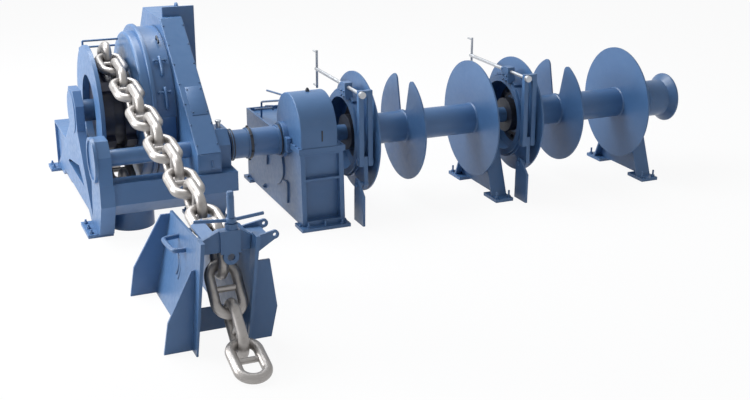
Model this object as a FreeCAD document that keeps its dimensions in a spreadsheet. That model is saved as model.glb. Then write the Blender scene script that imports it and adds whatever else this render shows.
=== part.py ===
import FreeCAD, Part
import math
import os
import re
import Sketcher

# Combined anchor windlass and mooring winch, standing on a ship's deck.
# X runs along the drum shaft, from the chain side to the warping head.
# Y points away from the chain stopper, and Z is up.
# The origin is on the deck, under the shaft, at the middle pedestal.
# Lengths are in millimetres and angles in degrees.
# A capitalised size becomes a cell of the sheet under the same name in small letters.

# General
AXIS_HEIGHT = 1028  # drum shaft above the deck
SHAFT_RADIUS = 105  # drum shaft
SHAFT_GAP = 0.5  # running gap round a shaft in its bearing
SIDE_GAP = 8  # side gap between turning and standing pieces
SEAT_GAP = 0.25  # gap between curved pieces that seat on each other
FOOT_THICK = 45  # foot plates on the deck
EDGE_ROUND = 12  # rounded edges of castings

# Drums
DRUM_PITCH = 2406  # from one drum's brake flange to the next one's
DRUM_LENGTH = 1743  # brake flange to end flange, outside
DRUM_GAP = 169  # end flange to the middle of its pedestal
DIVIDER_PLACE = 682  # brake flange to divider
FLANGE_RADIUS = 800  # drum flange
DIVIDER_RADIUS = 729  # divider between storage and working part
FLANGE_THICK = 20  # flange and divider plates
BARREL_RADIUS = 208  # drum barrel
NOTCH_FOOT = 90  # half width of the divider's slot at the barrel
NOTCH_HEAD = 222  # half width of the divider's slot at its rim
HORN_ROUND = 85  # rounded horns beside the slot

# Band brakes
RIM_RADIUS = 560  # brake rim, outside
RIM_WALL = 30  # brake rim
RIM_WIDTH = 215  # brake rim along the shaft
LIP_RADIUS = 480  # hole of the ring that closes the rim's open side
LIP_THICK = 22  # that ring
BAND_GAP = 6  # slack between rim and open band
BAND_THICK = 22  # brake band
BAND_WIDTH = 150  # brake band along the shaft
BRAKE_SHIFT = 134  # drum's brake flange to the middle of the levers
LEVER_THICK = 64  # brake lever bar, along the shaft
LEVER_DEPTH = 90  # brake lever bar, front to back
LEVER_SPREAD = 62  # half distance between the two lever bars
LEVER_TOP = 1735  # top of the lever bars above the deck
LEVER_WAIST = 26  # how much a lever bar narrows towards its top
PIN_HEIGHT = 500  # pin of the foot plate above the deck
PIN_END = 72  # lug below that pin
PIN_RADIUS = 32  # pins of levers and foot plate
LEVER_PIN = 800  # pin of the levers above the deck
LEVER_END = 55  # lever bars below their pin
PIN_HEAD = 14  # pins beyond the pieces they hold
HEAD_BLOCK = 82  # cross block at the top of the levers, height
PLATE_INNER = 570  # brake foot plate, nearest edge to the shaft line
PLATE_OUTER = 872  # brake foot plate, farthest edge from the shaft line
PLATE_SHOULDER = 400  # where the brake foot plate starts to narrow
PLATE_THICK = 30  # brake foot plate along the shaft
SPINDLE_HEIGHT = 1690  # brake spindle above the deck
SPINDLE_RADIUS = 24  # brake spindle
SPINDLE_REAR = 960  # rear end of the brake spindle
NUT_RADIUS = 44  # nut in front of the levers
NUT_LENGTH = 52  # that nut
CRANK_REACH = 262  # crank bar each side of the spindle
CRANK_RADIUS = 17  # crank bar
CRANK_GRIP = 125  # grip at the crank's ends
GRIP_RADIUS = 13  # that grip
HUMP_REAR = 40  # rear foot of the bracket on the band, in front of the shaft line
HUMP_FRONT = 255  # front foot of that bracket
HUMP_RISE = 58  # that bracket above the spindle
HUMP_WIDTH = 104  # that bracket along the shaft
SPLIT_HIGH = 57  # upper end of the band's split, above level
SPLIT_LOW = 51  # lower end of the band's split, above level
SPLIT_REACH = 706  # wedge that splits the band, out from the shaft line
LUG_THICK = 54  # lug under the band
LUG_INNER = 330  # inner corners of that lug, from the shaft line
LUG_LOW = 476  # lower one of those corners under the shaft
CLUTCH_RADIUS = 236  # claw clutch on the shaft, inside each brake rim
CLUTCH_LENGTH = 105  # that clutch
CLAW_LENGTH = 44  # its claws
CLAW_HALF = 52  # half width of a claw
CLAW_INNER = 130  # claws from the shaft line, inside

# Pedestals
PEDESTAL_WIDTH = 230  # pedestal flanges along the shaft
PEDESTAL_FLANGE = 28  # sloping flanges of a pedestal
PEDESTAL_WEB = 30  # web plate of a pedestal
LEG_FOOT = 560  # outside of a pedestal leg from the shaft line, at its foot
LEG_TOP = 205  # outside of a pedestal leg from the shaft line, at its top
LEG_HIGH = 900  # top of the legs above the deck
FOOT_INNER = 360  # inner end of a foot plate from the shaft line
FOOT_OUTER = 720  # outer end of a foot plate from the shaft line
FOOT_WIDTH = 267  # foot plate along the shaft
FOOT_BOLT = 33  # foot bolt hole, diameter
BOLT_ACROSS = 190  # bolt rows of a pedestal foot along the shaft
BOLT_REACH = 660  # bolt row of a pedestal from the shaft line
BEARING_RADIUS = 185  # pedestal bearing housing
CAP_HALF = 250  # half length of the flange between bearing and bearing cap
CAP_THICK = 64  # that flange

# Warping head
HEAD_GAP = 154  # middle of the end pedestal to the warping head
HEAD_LENGTH = 530  # warping head along the shaft
HEAD_RADIUS = 263  # warping head barrel
HEAD_FLARE = 352  # warping head flange, outer
HEAD_INNER = 318  # warping head flange, inner
HEAD_RIM = 30  # edge of the warping head flanges
HEAD_SLOPE = 80  # length over which a flange runs into the barrel
HUB_DEPTH = 24  # hollow of the warping head's end

# Gearbox
GEARBOX_GAP = 224  # brake rim to gearbox
GEARBOX_WIDTH = 579  # gearbox along the shaft
GEARBOX_FRONT = 700  # front face of the gearbox from the shaft line, at its foot
GEARBOX_LEAN = 60  # how far that face leans back at its top
GEARBOX_REAR = 1600  # rear face of the gearbox
GEARBOX_TOP = 1060  # joint face of the gearbox housing
JOINT_THICK = 72  # flange round the gearbox joint
JOINT_OUT = 22  # that flange beyond the housing
DOME_RADIUS = 470  # round top of the gear cover
DOME_TOP = 1680  # top of the gear cover above the deck
DOME_CENTRE = 185  # middle of the gear cover in front of the shaft line
DOME_LEFT = 8  # gear cover inside the housing's left side
DOME_RIGHT = 82  # gear cover inside the housing's right side
PANEL_EDGE = 62  # frame round the front panels
PANEL_HIGH = 660  # foot of the upper front panel above the deck
PANEL_SHALLOW = 40  # depth of the upper front panel
PANEL_DEEP = 120  # depth of the lower front panel
TRAY_EDGE = 30  # rim of the tray behind the gear cover
TRAY_DEPTH = 45  # that tray
BOX_FOOT = 95  # foot plate beyond the gearbox ends
BOX_FOOT_SIDE = 42  # foot plate beyond the gearbox sides
BOX_FOOT_BACK = 190  # foot plate under the gearbox ends
BOSS_RADIUS = 232  # shaft boss on the gearbox's left side
BOSS_LENGTH = 58  # that boss
BOSS_LUG_REACH = 322  # lug on that boss, in front of the shaft line
BOSS_LUG_HALF = 92  # half height of that lug

# Shaft coupling
SLEEVE_LENGTH = 755  # gear case to gearbox
SLEEVE_RADIUS = 185  # coupling sleeve between windlass and gearbox
SLEEVE_RING = 200  # rings on the sleeve
RING_PLACE = 235  # left end of the sleeve to its clamp ring
RING_WIDTH = 72  # that clamp ring
END_RING = 46  # rings at the ends of the sleeve

# Windlass
BAND_CASE_WIDTH = 318  # brake band case along the shaft
BAND_CASE_RADIUS = 1045  # brake band case
BAND_CASE_BACK = 50  # middle of that case behind the wheel axis
BEAD_RADIUS = 1085  # raised rim on its left edge
BEAD_WIDTH = 52  # that rim along the shaft
BEAD_ROUND = 18  # rounded edge of that rim
CHEEK_WIDTH = 137  # right cheek of the chain wheel
CHEEK_RADIUS = 1005  # that cheek
CHEEK_ROUND = 40  # its rounded left edge
CHEEK_SHY = 20  # gap between chain wheel and cheek beyond its hub
WHEEL_HALF = 205  # chain plane to the discs beside it
WHEEL_FRONT = 1500  # chain wheel axis behind the drum shaft
WHEEL_HEIGHT = 1270  # chain wheel axis above the deck
WHELPS = 5  # pocket pairs round the chain wheel
GROOVE_HALF = 70  # half width of the groove for upright links
WHELP_HALF = 62  # half width of a whelp along the rim
WHELP_RISE = 72  # whelps above the pockets
WHEEL_SHAFT_RADIUS = 145  # chain wheel shaft
DISC_RADIUS = 859  # left wheel disc
DISC_WIDTH = 90  # left disc with its neck along the shaft
DISC_RIM = 52  # rim of the left disc along the shaft
DISC_WALL = 30  # rim and neck of the left disc, radially
DISC_PLATE = 16  # plate of the left disc
DISC_HOLE = 470  # hole of the left disc
GUARD_RADIUS = 14  # guard bars over the chain
GUARD_NEAR = 550  # lower guard bar behind the wheel axis
GUARD_NEAR_RISE = 734  # lower guard bar above the wheel axis
GUARD_FAR = 300  # upper guard bar behind the wheel axis
GUARD_FAR_RISE = 868  # upper guard bar above the wheel axis
FRAME_GAP = 232  # left disc to the left side of the frame
FRAME_THICK = 110  # windlass frame along the shaft
FRAME_REAR = 3280  # rear end of the frame behind the drum shaft
FRAME_FOOT = 250  # front end of the frame's foot
SOLE_LOW = 150  # underside of the frame's sole beam
SOLE_HIGH = 400  # top of the frame's sole beam
SOLE_START = 700  # where the sole beam's underside rises
SOLE_END = 2550  # where it comes down again
GAP_FRONT = 920  # front corner of the opening over the sole beam
GAP_REAR = 2160  # rear corner of that opening
GAP_BEND = 2080  # its upper rear corner
GAP_BEND_HIGH = 455  # that corner above the deck
GAP_PEAK = 1243  # its highest corner
GAP_HIGH = 600  # that corner above the deck
SEAT_LOW = 1190  # seat of the upper bearing above the deck
SEAT_FRONT = 1150  # front end of that seat
SEAT_REAR = 1780  # rear end of that seat
LEG_WIDTH = 180  # front leg along the shaft
LEG_FRONT = 250  # front face of the front leg from the shaft line
LEG_BEND = 480  # where the front leg starts to slope back
LEG_BACK = 450  # rear side of the front leg
LOW_BLOCK = 275  # drum shaft to the seat of its windlass bearings
LOW_WIDTH = 165  # those bearings along the shaft
BLOCK_HALF = 250  # half length of those bearings
BLOCK_SHOULDER = 80  # where their slanted faces start, above the shaft
BLOCK_TOP = 250  # their top above the shaft
BLOCK_TOP_FRONT = 100  # front end of that top
BLOCK_TOP_REAR = 150  # rear end of that top
HIGH_FRONT = 350  # upper bearing in front of the wheel axis
HIGH_REAR = 270  # upper bearing behind the wheel axis
HIGH_SHOULDER = 145  # where its slanted faces start, above the wheel axis
HIGH_TOP = 318  # its top above the wheel axis
HIGH_TOP_FRONT = 190  # front end of that top
HIGH_TOP_REAR = 130  # rear end of that top
END_CAP_RADIUS = 285  # end caps of the left bearings
END_CAP_THICK = 40  # end cap of the drum shaft's left bearing
END_CAP_EDGE = 42  # raised edge of that cap
HIGH_CAP = 10  # end cap of the wheel shaft's left bearing
FOOT_OUT = 135  # foot plates of the frame beyond its left face
STAND_WIDTH = 230  # stand behind the frame, along the shaft
STAND_HEIGHT = 711  # top of that stand
STAND_FRONT = 2265  # front end of that stand
BEAM_FRONT_FACE = 200  # front face of the front cross beam from the shaft line
BEAM_TOP = 750  # top of that beam
BEAM_BEND = 470  # where its front face slopes back
BEAM_LOW = 285  # its underside
BEAM_BACK = 60  # its rear face behind the shaft line

# Gear case
GEAR_CASE_WIDTH = 490  # gear case along the shaft
COVER_WIDTH = 299  # slanted gear cover along the shaft
COVER_FRONT = 400  # front of that cover from the shaft line
COVER_NOSE = 1070  # top of its vertical front
COVER_HIGH = 2470  # top of the cover
COVER_BACK = 1250  # where its slope ends
CASE_FRONT = 1360  # front of the gear case behind the shaft line
CASE_TOP = 2462  # top of the gear case
CASE_BEND = 2250  # where the top of the gear case ends
CASE_REAR = 2700  # rear face of the gear case
CASE_SLOPE_END = 1900  # foot of its rear slope
SCREEN_SHIFT = 63  # upright plate inside the left side of the gear case
SCREEN_THICK = 36  # that plate
SCREEN_TOP = 2595  # top of that plate
BASE_TOP = 810  # top of the gear case base
BASE_LOW = 560  # underside of that base
BASE_FRONT = 450  # front of that base
STEM_FRONT = 330  # front leg of the base from the shaft line, at its head
STEM_FOOT = 60  # front leg of the base from the shaft line, at its foot
STEM_DEPTH = 420  # legs of the base, front to back
STEM_INSET = 60  # legs of the base inside its sides
STEM_REAR = 2200  # rear leg of the base
STEM_FLARE = 90  # foot plates beyond the legs

# Chain pipe
PIPE_RADIUS = 290  # chain pipe
PIPE_FRONT = 412  # chain pipe behind the drum shaft
PIPE_SHIFT = 40  # chain pipe left of the chain plane
PIPE_HEIGHT = 340  # chain pipe above the deck
PIPE_WALL = 18  # chain pipe wall
PIPE_NOTCH = 90  # half width of the notch that lets the chain in

# Anchor chain
CHAIN_BAR = 107  # chain link bar
CHAIN_GAP = 0.5  # slack of a flat link between its upright neighbours
CHAIN_FALL = 10.5  # slope of the chain between wheel and stopper
CHAIN_DRIFT = 1.2  # sideways slope of that run
CHAIN_LIFT = 4  # how far the wheel has turned past a seated flat link
FLAT_LINKS = 6  # flat links of that run
WRAP_LINKS = 5  # links that lie on the wheel
STRIP_SLOPE = 20  # slope of the flat link behind the chain pipe
PIPE_SLOPE = 30  # slope of the upright link in the chain pipe's mouth
ENTRY_SLOPE = 72  # slope of the upright link behind the stopper's cross beam
STOPPER_SLOPE = 49  # slope of the flat link inside the stopper
EXIT_SLOPE = 43  # slope of the upright link in front of the stopper

# Chain stopper
STOPPER_GAP = 1880  # drum shaft to the rear edge of the side plates
STOPPER_LENGTH = 1680  # side plates, front to back
STOPPER_OFF = 18  # stopper's middle right of the chain
STOPPER_LEAN = 121  # how far its foot stands left of its top
STOPPER_FOOT = 274  # middle to the outside of a side plate, at the deck
STOPPER_HALF = 298  # middle to the outside of a side plate, at the front top
STOPPER_CLOSE = 155  # middle to the outside of a side plate, at the rear top
STOPPER_HIGH = 1165  # front top of the side plates
STOPPER_LOW = 930  # rear top of the side plates
STOPPER_PLATE = 28  # side plates and wings
GUIDE_THICK = 40  # guide bars on the front edges
GUIDE_DEPTH = 150  # those bars, front to back
GUIDE_OUT = 62  # those bars in front of the side plates
GUIDE_TOP = 1172  # their top
WING_FOOT = 556  # middle to the tip of a wing, at the deck
LEFT_BEND = 536  # middle to the bend of the left wings
RIGHT_BEND = 592  # middle to the bend of the right wings
LEFT_TOP = 330  # middle to the top corner of the left front wing
RIGHT_TOP = 472  # middle to the top corner of the right front wing
REAR_TOP = 264  # middle to the top corner of the rear wings
WING_BEND = 330  # bend of the wings above the deck
WING_TOP = 850  # top of the front wings
WING_BACK = 100  # front wings behind the front edge
CROSS_FRONT = 3080  # low cross plate from the shaft line
CROSS_HEIGHT = 255  # that plate above the deck
GABLE_FRONT = 3470  # front face of the stopper's cross beam
GABLE_DEPTH = 76  # that beam, front to back
GABLE_INSET = 46.2  # its ends inside the outer faces of the sides
CROSS_INSET = 39.2  # ends of the cross plate inside the outer faces of the sides
GABLE_LOW = 1000  # its underside
GABLE_HIGH = 1222  # its top
GABLE_END = 1140  # its top at the ends
GABLE_LEFT = 74  # left end of its flat top from the middle
GABLE_RIGHT = 136  # right end of its flat top from the middle
ROOF_OUTER = 234  # outer edge of the roof behind that beam, from the middle
ROOF_LEFT = 119  # inner edge of its left part
ROOF_RIGHT = 165  # inner edge of its right part
ROOF_LONG = 400  # its left part, front to back
ROOF_SHORT = 250  # its right part, front to back
ROOF_THICK = 20  # that roof
PAD_LEFT = 70  # thick pad on the beam, left end
PAD_OUT = 30  # that pad in front of the beam
PAD_LOW = 985  # its underside
EYE_RADIUS = 80  # eye under the beam
EYE_HOLE = 38  # hole of that eye
EYE_THICK = 30  # that eye
EYE_HEIGHT = 948  # that eye above the deck
SILL_REAR = 2825  # rear edge of the sill under the chain, from the shaft line
SILL_DEPTH = 80  # that sill, front to back
SILL_THICK = 18  # that sill
HINGE_REACH = 494  # hinge holes from the middle
HINGE_HEIGHT = 1108  # hinge holes above the deck
HINGE_RADIUS = 46  # hinge lugs round their holes
HINGE_HOLE = 19  # hinge holes
HINGE_THICK = 26  # hinge lugs
HINGE_ROOT = 205  # foot of the front hinge lug under its hole
HINGE_PLATE = 18  # plate between the hinge lugs
HINGE_APART = 350  # front hinge lug to rear hinge lug
SCREW_SHIFT = 62  # stopper screw right of the middle
SCREW_RADIUS = 37  # stopper screw
SCREW_TOP = 1556  # top of the stopper screw
SCREW_LOW = 1155  # lower end of the stopper screw
BOSS_WIDE = 64  # nut of the stopper screw
BOSS_TOP = 1280  # top of that nut
ARM_REACH = 365  # arms of the stopper screw
ARM_RADIUS = 18  # those arms
ARM_HEIGHT = 1308  # those arms above the deck
ARM_ANGLE = 13  # arms swept back from the shaft line's direction

doc = FreeCAD.newDocument("mooring_winch")
sheet = doc.addObject("Spreadsheet::Sheet", "Sizes")
pieces = []
aliases = []


def cell(name, content):
    """One named cell of the sheet."""
    row = len(aliases) + 1
    sheet.set("A%d" % row, name.replace("_", " "))
    sheet.set("B%d" % row, content)
    sheet.setAlias("B%d" % row, name)
    aliases.append(name)


for name, value in dict(globals()).items():
    if name.isupper():
        cell(name.lower(), str(value))

# Places that follow from the sizes
cell("drum_start", "=-drum_length - drum_gap")
cell("gearbox_left", "=drum_start - rim_width - gearbox_gap - gearbox_width")
cell("gear_case_right", "=gearbox_left - sleeve_length")
cell("gear_case_left", "=gear_case_right - gear_case_width")
cell("band_case_left", "=gear_case_left - band_case_width")
cell("cheek_left", "=band_case_left - cheek_width")
cell("chain_plane", "=cheek_left - wheel_half")
cell("disc_left", "=chain_plane - wheel_half - disc_width")
cell("frame_left", "=disc_left - frame_gap")
cell("head_start", "=drum_pitch + head_gap")
cell("stopper_front", "=-stopper_gap - stopper_length")
cell("band_outer", "=rim_radius + band_gap + band_thick")
cell("lever_back", "=-band_outer - seat_gap")
cell("lever_front", "=lever_back - lever_depth")
cell("pin_front", "=lever_back - lever_depth / 2")
cell("upright_reach", "=2.4 * chain_bar")
cell("flat_reach", "=5.6 * chain_bar - chain_gap")
cell("turn_angle", "=180 / whelps")
cell("flat_apothem", "=(upright_reach / 2 + flat_reach / 2 * cos(turn_angle)) / sin(turn_angle)")
cell("upright_apothem", "=(flat_reach / 2 + upright_reach / 2 * cos(turn_angle)) / sin(turn_angle)")
cell("corner_radius", "=sqrt(flat_apothem ^ 2 + (flat_reach / 2) ^ 2)")
cell("flat_angle", "=atan(flat_reach / 2 / flat_apothem) / 1 deg")
cell("upright_angle", "=turn_angle - flat_angle")
cell("leave_angle", "=90 + chain_fall + chain_lift - flat_angle")
cell("leave_front", "=wheel_front + corner_radius * cos(leave_angle)")
cell("leave_height", "=wheel_height + corner_radius * sin(leave_angle)")
cell("pocket_radius", "=flat_apothem - chain_bar / 2 - seat_gap")
cell("groove_radius", "=upright_apothem - 1.8 * chain_bar - side_gap")
cell("stopper_place", "=chain_plane + (leave_front + gable_front) * tan(chain_drift) + stopper_off")
cell("sill_front", "=sill_rear + sill_depth")
cell("sill_top", "=-1 + leave_height - (leave_front + sill_front) * tan(chain_fall)"
     " - chain_bar / 2 / cos(chain_fall) - seat_gap")
cell("sill_half", "=stopper_close + (stopper_half - stopper_close) * (sill_rear - stopper_gap) / stopper_length"
     " - stopper_plate - seat_gap")

doc.recompute()

# Helpers

def bound(text):
    """Size expression with each named cell written for the sheet."""
    words = lambda found: "Sizes." + found.group(0) if found.group(0) in aliases else found.group(0)
    return re.sub(r"[a-z_]+", words, text)


def number(text):
    """Number that a size expression gives."""
    found = sheet.evalExpression(bound(text))
    return float(getattr(found, "Value", found))


def place(thing, x, y, z):
    """Bind the place of a sub-part."""
    for axis, text in zip("xyz", (x, y, z)):
        thing.setExpression("Placement.Base." + axis, bound(text))


def piece(label, x="0", y="0", z="0"):
    """New sub-part, drawn about its own origin, which stands at x, y, z."""
    made = doc.addObject("PartDesign::Body", label)
    made.Label = label
    place(made, x, y, z)
    pieces.append(made)
    return made


def origin_plane(made, role):
    """Origin plane of a body."""
    return [face for face in made.Origin.OriginFeatures if face.Role == role][0]


def sketch(made, role, start):
    """Empty sketch on a body's origin plane, moved to start along its world axis."""
    drawn = made.newObject("Sketcher::SketchObject", made.Name + "_sketch")
    drawn.AttachmentSupport = (origin_plane(made, role), [""])
    drawn.MapMode = "FlatFace"
    sign = "-" if role == "XZ_Plane" else ""
    drawn.setExpression("AttachmentOffset.Base.z", bound("%s(%s)" % (sign, start)))
    return drawn


def hold(drawn, kind, *where):
    """Constraint of a sketch with its value bound to the sheet."""
    text = where[-1]
    made = drawn.addConstraint(Sketcher.Constraint(kind, *where[:-1], number(text)))
    drawn.setExpression("Constraints[%d]" % made, bound(text))


def circle(radius, across="0", up="0"):
    """Round shape of a sketch."""
    def draw(drawn):
        centre = FreeCAD.Vector(number(across), number(up), 0)
        ring = drawn.addGeometry(Part.Circle(centre, FreeCAD.Vector(0, 0, 1), number(radius)), False)
        hold(drawn, "Radius", ring, radius)
        hold(drawn, "DistanceX", -1, 1, ring, 3, across)
        hold(drawn, "DistanceY", -1, 1, ring, 3, up)
    return draw


def outline(*corners):
    """Straight-sided closed shape of a sketch through corners."""
    def draw(drawn):
        spots = [FreeCAD.Vector(number(across), number(up), 0) for across, up in corners]
        first = drawn.GeometryCount
        count = len(spots)
        for i in range(count):
            drawn.addGeometry(Part.LineSegment(spots[i], spots[(i + 1) % count]), False)
        for i in range(count):
            drawn.addConstraint(Sketcher.Constraint("Coincident", first + i, 2, first + (i + 1) % count, 1))
            hold(drawn, "DistanceX", -1, 1, first + i, 1, corners[i][0])
            hold(drawn, "DistanceY", -1, 1, first + i, 1, corners[i][1])
    return draw


def block(across, up, width, height):
    """Rectangle whose lower left corner is at across, up."""
    right = "%s + %s" % (across, width)
    high = "%s + %s" % (up, height)
    return outline((across, up), (right, up), (right, high), (across, high))


def spoke(angle, near, far, half):
    """Rectangle that points away from the sketch's origin at an angle."""
    corners = []
    for along, aside in ((near, "-" + half), (far, "-" + half), (far, half), (near, half)):
        across = "%s * cos(%s) - (%s) * sin(%s)" % (along, angle, aside, angle)
        up = "%s * sin(%s) + (%s) * cos(%s)" % (along, angle, aside, angle)
        corners.append((across, up))
    return outline(*corners)


def extrude(made, kind, role, start, length, shapes):
    """Pad or pocket along the world axis, from start."""
    drawn = sketch(made, role, start)
    for shape in shapes:
        shape(drawn)
    feature = made.newObject(kind, made.Name + "_feature")
    feature.Profile = drawn
    feature.setExpression("Length", bound(length))
    feature.Reversed = (role == "XZ_Plane") != (kind == "PartDesign::Pocket")
    made.Tip = feature


def add(made, role, start, length, *shapes):
    """Material along the world axis, from start."""
    extrude(made, "PartDesign::Pad", role, start, length, shapes)


def cut(made, role, start, length, *shapes):
    """Hole or recess along the world axis, from start."""
    extrude(made, "PartDesign::Pocket", role, start, length, shapes)


def turn(made, *shapes):
    """Solid turned about the body's own X axis."""
    drawn = sketch(made, "XZ_Plane", "0")
    for shape in shapes:
        shape(drawn)
    feature = made.newObject("PartDesign::Revolution", made.Name + "_turned")
    feature.Profile = drawn
    feature.ReferenceAxis = (drawn, ["H_Axis"])
    feature.Angle = 360
    made.Tip = feature


def blend(made, near, far):
    """Straight transition between two outlines, each given with its place along Y."""
    drawn = []
    for start, corners in (near, far):
        drawn.append(sketch(made, "XZ_Plane", start))
        outline(*corners)(drawn[-1])
    feature = made.newObject("PartDesign::AdditiveLoft", made.Name + "_blend")
    feature.Profile = drawn[0]
    feature.Sections = [drawn[1]]
    feature.Ruled = True
    made.Tip = feature


def soften(made, radius, chosen):
    """Rounded edges, for each edge of the body so far that chosen picks."""
    doc.recompute()
    base = made.Tip
    names = ["Edge%d" % (i + 1) for i, edge in enumerate(base.Shape.Edges) if chosen(edge)]
    feature = made.newObject("PartDesign::Fillet", made.Name + "_round")
    feature.Base = (base, names)
    feature.setExpression("Radius", bound(radius))
    made.Tip = feature


def round_edge(radius, x=None):
    """Test for circular edges of a radius, at one place along X if it is given."""
    def test(edge):
        if not isinstance(edge.Curve, Part.Circle) or abs(edge.Curve.Radius - number(radius)) > 0.5:
            return False
        return x is None or abs(edge.CenterOfMass.x - number(x)) < 0.5
    return test


# Drums with their band brakes

def drum(count, start):
    """Barrel, flanges, divider and brake rim of one drum, which turn on the shaft."""
    name = "drum_%d_" % count
    barrel = piece(name + "barrel", start, "0", "axis_height")
    inside = "drum_length - 2 * flange_thick"
    add(barrel, "YZ_Plane", "flange_thick", inside, circle("barrel_radius"), circle("shaft_radius + shaft_gap"))
    for label, spot in (("brake_flange", "0"), ("end_flange", "drum_length - flange_thick")):
        plate = piece(name + label, "%s + %s" % (start, spot), "0", "axis_height")
        add(plate, "YZ_Plane", "0", "flange_thick", circle("flange_radius"), circle("shaft_radius + shaft_gap"))
    divider = piece(name + "divider", start + " + divider_place", "0", "axis_height")
    add(divider, "YZ_Plane", "0", "flange_thick", circle("divider_radius"), circle("barrel_radius"))
    cut(divider, "YZ_Plane", "0", "flange_thick",
        outline(("-notch_foot", "0"), ("notch_foot", "0"), ("notch_foot", "barrel_radius"),
                ("notch_head", "divider_radius + 1"), ("-notch_head", "divider_radius + 1"),
                ("-notch_foot", "barrel_radius")))
    highest = "(notch_head - notch_foot) * 2"
    soften(divider, "horn_round", lambda edge: edge.CenterOfMass.z > number(highest)
           and abs(edge.Length - number("flange_thick")) < 0.5)
    rim = piece(name + "brake_rim", start + " - rim_width", "0", "axis_height")
    add(rim, "YZ_Plane", "0", "rim_width", circle("rim_radius"), circle("rim_radius - rim_wall"))
    add(rim, "YZ_Plane", "0", "lip_thick", circle("rim_radius - rim_wall / 2"), circle("lip_radius"))
    clutch = piece("clutch_ring_%d" % count, start + " - side_gap - claw_length", "0", "axis_height")
    add(clutch, "YZ_Plane", "-clutch_length", "clutch_length", circle("clutch_radius"), circle("shaft_radius"))
    for angle in ("0", "120", "240"):
        add(clutch, "YZ_Plane", "-clutch_length", "clutch_length + claw_length",
            spoke(angle, "claw_inner", "(clutch_radius - side_gap)", "claw_half"))


def brake(count, start):
    """Split band, levers, foot plate and spindle of one brake."""
    name = "brake_%d_" % count
    middle = start + " - brake_shift"
    inner = "rim_radius + band_gap"
    band = piece(name + "band", middle, "0", "axis_height")
    add(band, "YZ_Plane", "rim_width / 2 - band_width / 2 - rim_width + brake_shift", "band_width",
        circle("band_outer"), circle(inner))
    wedge = [("0", "0")]
    for angle in ("split_low", "split_high"):
        wedge.append(("-split_reach * cos(%s)" % angle, "split_reach * sin(%s)" % angle))
    cut(band, "YZ_Plane", "-rim_width", "2 * rim_width", outline(*wedge))
    high = "spindle_height - axis_height + hump_rise"
    add(band, "YZ_Plane", "-lever_spread - hump_width / 2", "hump_width",
        outline(("-hump_front", "rim_radius / 2"), ("-hump_rear", "rim_radius / 2"), ("-hump_rear", "band_outer"),
                ("-hump_rear - hump_rise", high), ("-hump_front + hump_rise / 2", high),
                ("-hump_front", "band_outer - 2 * hump_rise")))
    add(band, "YZ_Plane", "-lug_thick / 2", "lug_thick",
        outline(("-band_outer + band_thick", "lever_pin - axis_height + pin_end"),
                ("-lug_inner", "-lug_inner"), ("-lug_inner", "-lug_low"),
                ("pin_front", "pin_height - axis_height - pin_end"),
                ("pin_front - pin_radius - pin_head", "pin_height - axis_height"),
                ("pin_front - pin_radius", "lever_pin - axis_height + pin_end")))
    cut(band, "YZ_Plane", "-rim_width", "2 * rim_width", circle(inner))
    for height in ("pin_height", "lever_pin"):
        cut(band, "YZ_Plane", "-lug_thick / 2", "lug_thick",
            circle("pin_radius + seat_gap", "pin_front", height + " - axis_height"))
    cut(band, "XZ_Plane", "-hump_front - side_gap", "hump_front + 2 * side_gap",
        circle("spindle_radius + shaft_gap", "-lever_spread", "spindle_height - axis_height"))
    levers = piece(name + "levers", middle)
    for side in ("-lever_spread", "lever_spread"):
        add(levers, "YZ_Plane", side + " - lever_thick / 2", "lever_thick",
            outline(("lever_front", "lever_pin - lever_end"), ("lever_back", "lever_pin - lever_end"),
                    ("lever_back", "lever_top"), ("lever_front + lever_waist", "lever_top"),
                    ("lever_front", "axis_height")))
    add(levers, "YZ_Plane", "-lever_spread", "2 * lever_spread",
        block("lever_front + lever_waist", "spindle_height - head_block / 2", "lever_depth - lever_waist",
              "head_block"))
    pin_reach = "(lever_spread + lever_thick / 2 + pin_head)"
    add(levers, "YZ_Plane", "-" + pin_reach, "2 * " + pin_reach, circle("pin_radius", "pin_front", "lever_pin"))
    cut(levers, "XZ_Plane", "lever_front - 1", "lever_depth + 2",
        circle("spindle_radius + shaft_gap", "-lever_spread", "spindle_height"))
    foot = piece(name + "foot", middle + " - lever_spread - lever_thick / 2 - seat_gap - plate_thick")
    add(foot, "YZ_Plane", "0", "plate_thick",
        outline(("-plate_outer", "0"), ("-plate_inner", "0"), ("-plate_inner", "plate_shoulder"),
                ("lever_back", "pin_height + pin_end"), ("lever_front", "pin_height + pin_end"),
                ("-plate_outer", "plate_shoulder")))
    add(foot, "YZ_Plane", "-pin_head", "lever_spread + lever_thick / 2 + plate_thick + lug_thick / 2 + 2 * pin_head",
        circle("pin_radius", "pin_front", "pin_height"))
    spindle = piece(name + "spindle", middle + " - lever_spread", "0", "spindle_height")
    tip = ("lever_front + lever_waist * (spindle_height - nut_radius - axis_height) / (lever_top - axis_height)"
           " - shaft_gap - nut_length")
    add(spindle, "XZ_Plane", tip, "spindle_rear - (%s)" % tip, circle("spindle_radius"))
    add(spindle, "XZ_Plane", tip, "nut_length", circle("nut_radius"))
    add(spindle, "XY_Plane", "-crank_reach", "2 * crank_reach",
        circle("crank_radius", "0", "spindle_rear - 2 * crank_radius"))
    for up in ("-crank_reach + 2 * grip_radius", "crank_reach - 2 * grip_radius"):
        add(spindle, "XZ_Plane", "spindle_rear - 2 * crank_radius", "crank_grip", circle("grip_radius", "0", up))


drum(1, "drum_start")
brake(1, "drum_start")
drum(2, "drum_start + drum_pitch")
brake(2, "drum_start + drum_pitch")


# Pedestals

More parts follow.
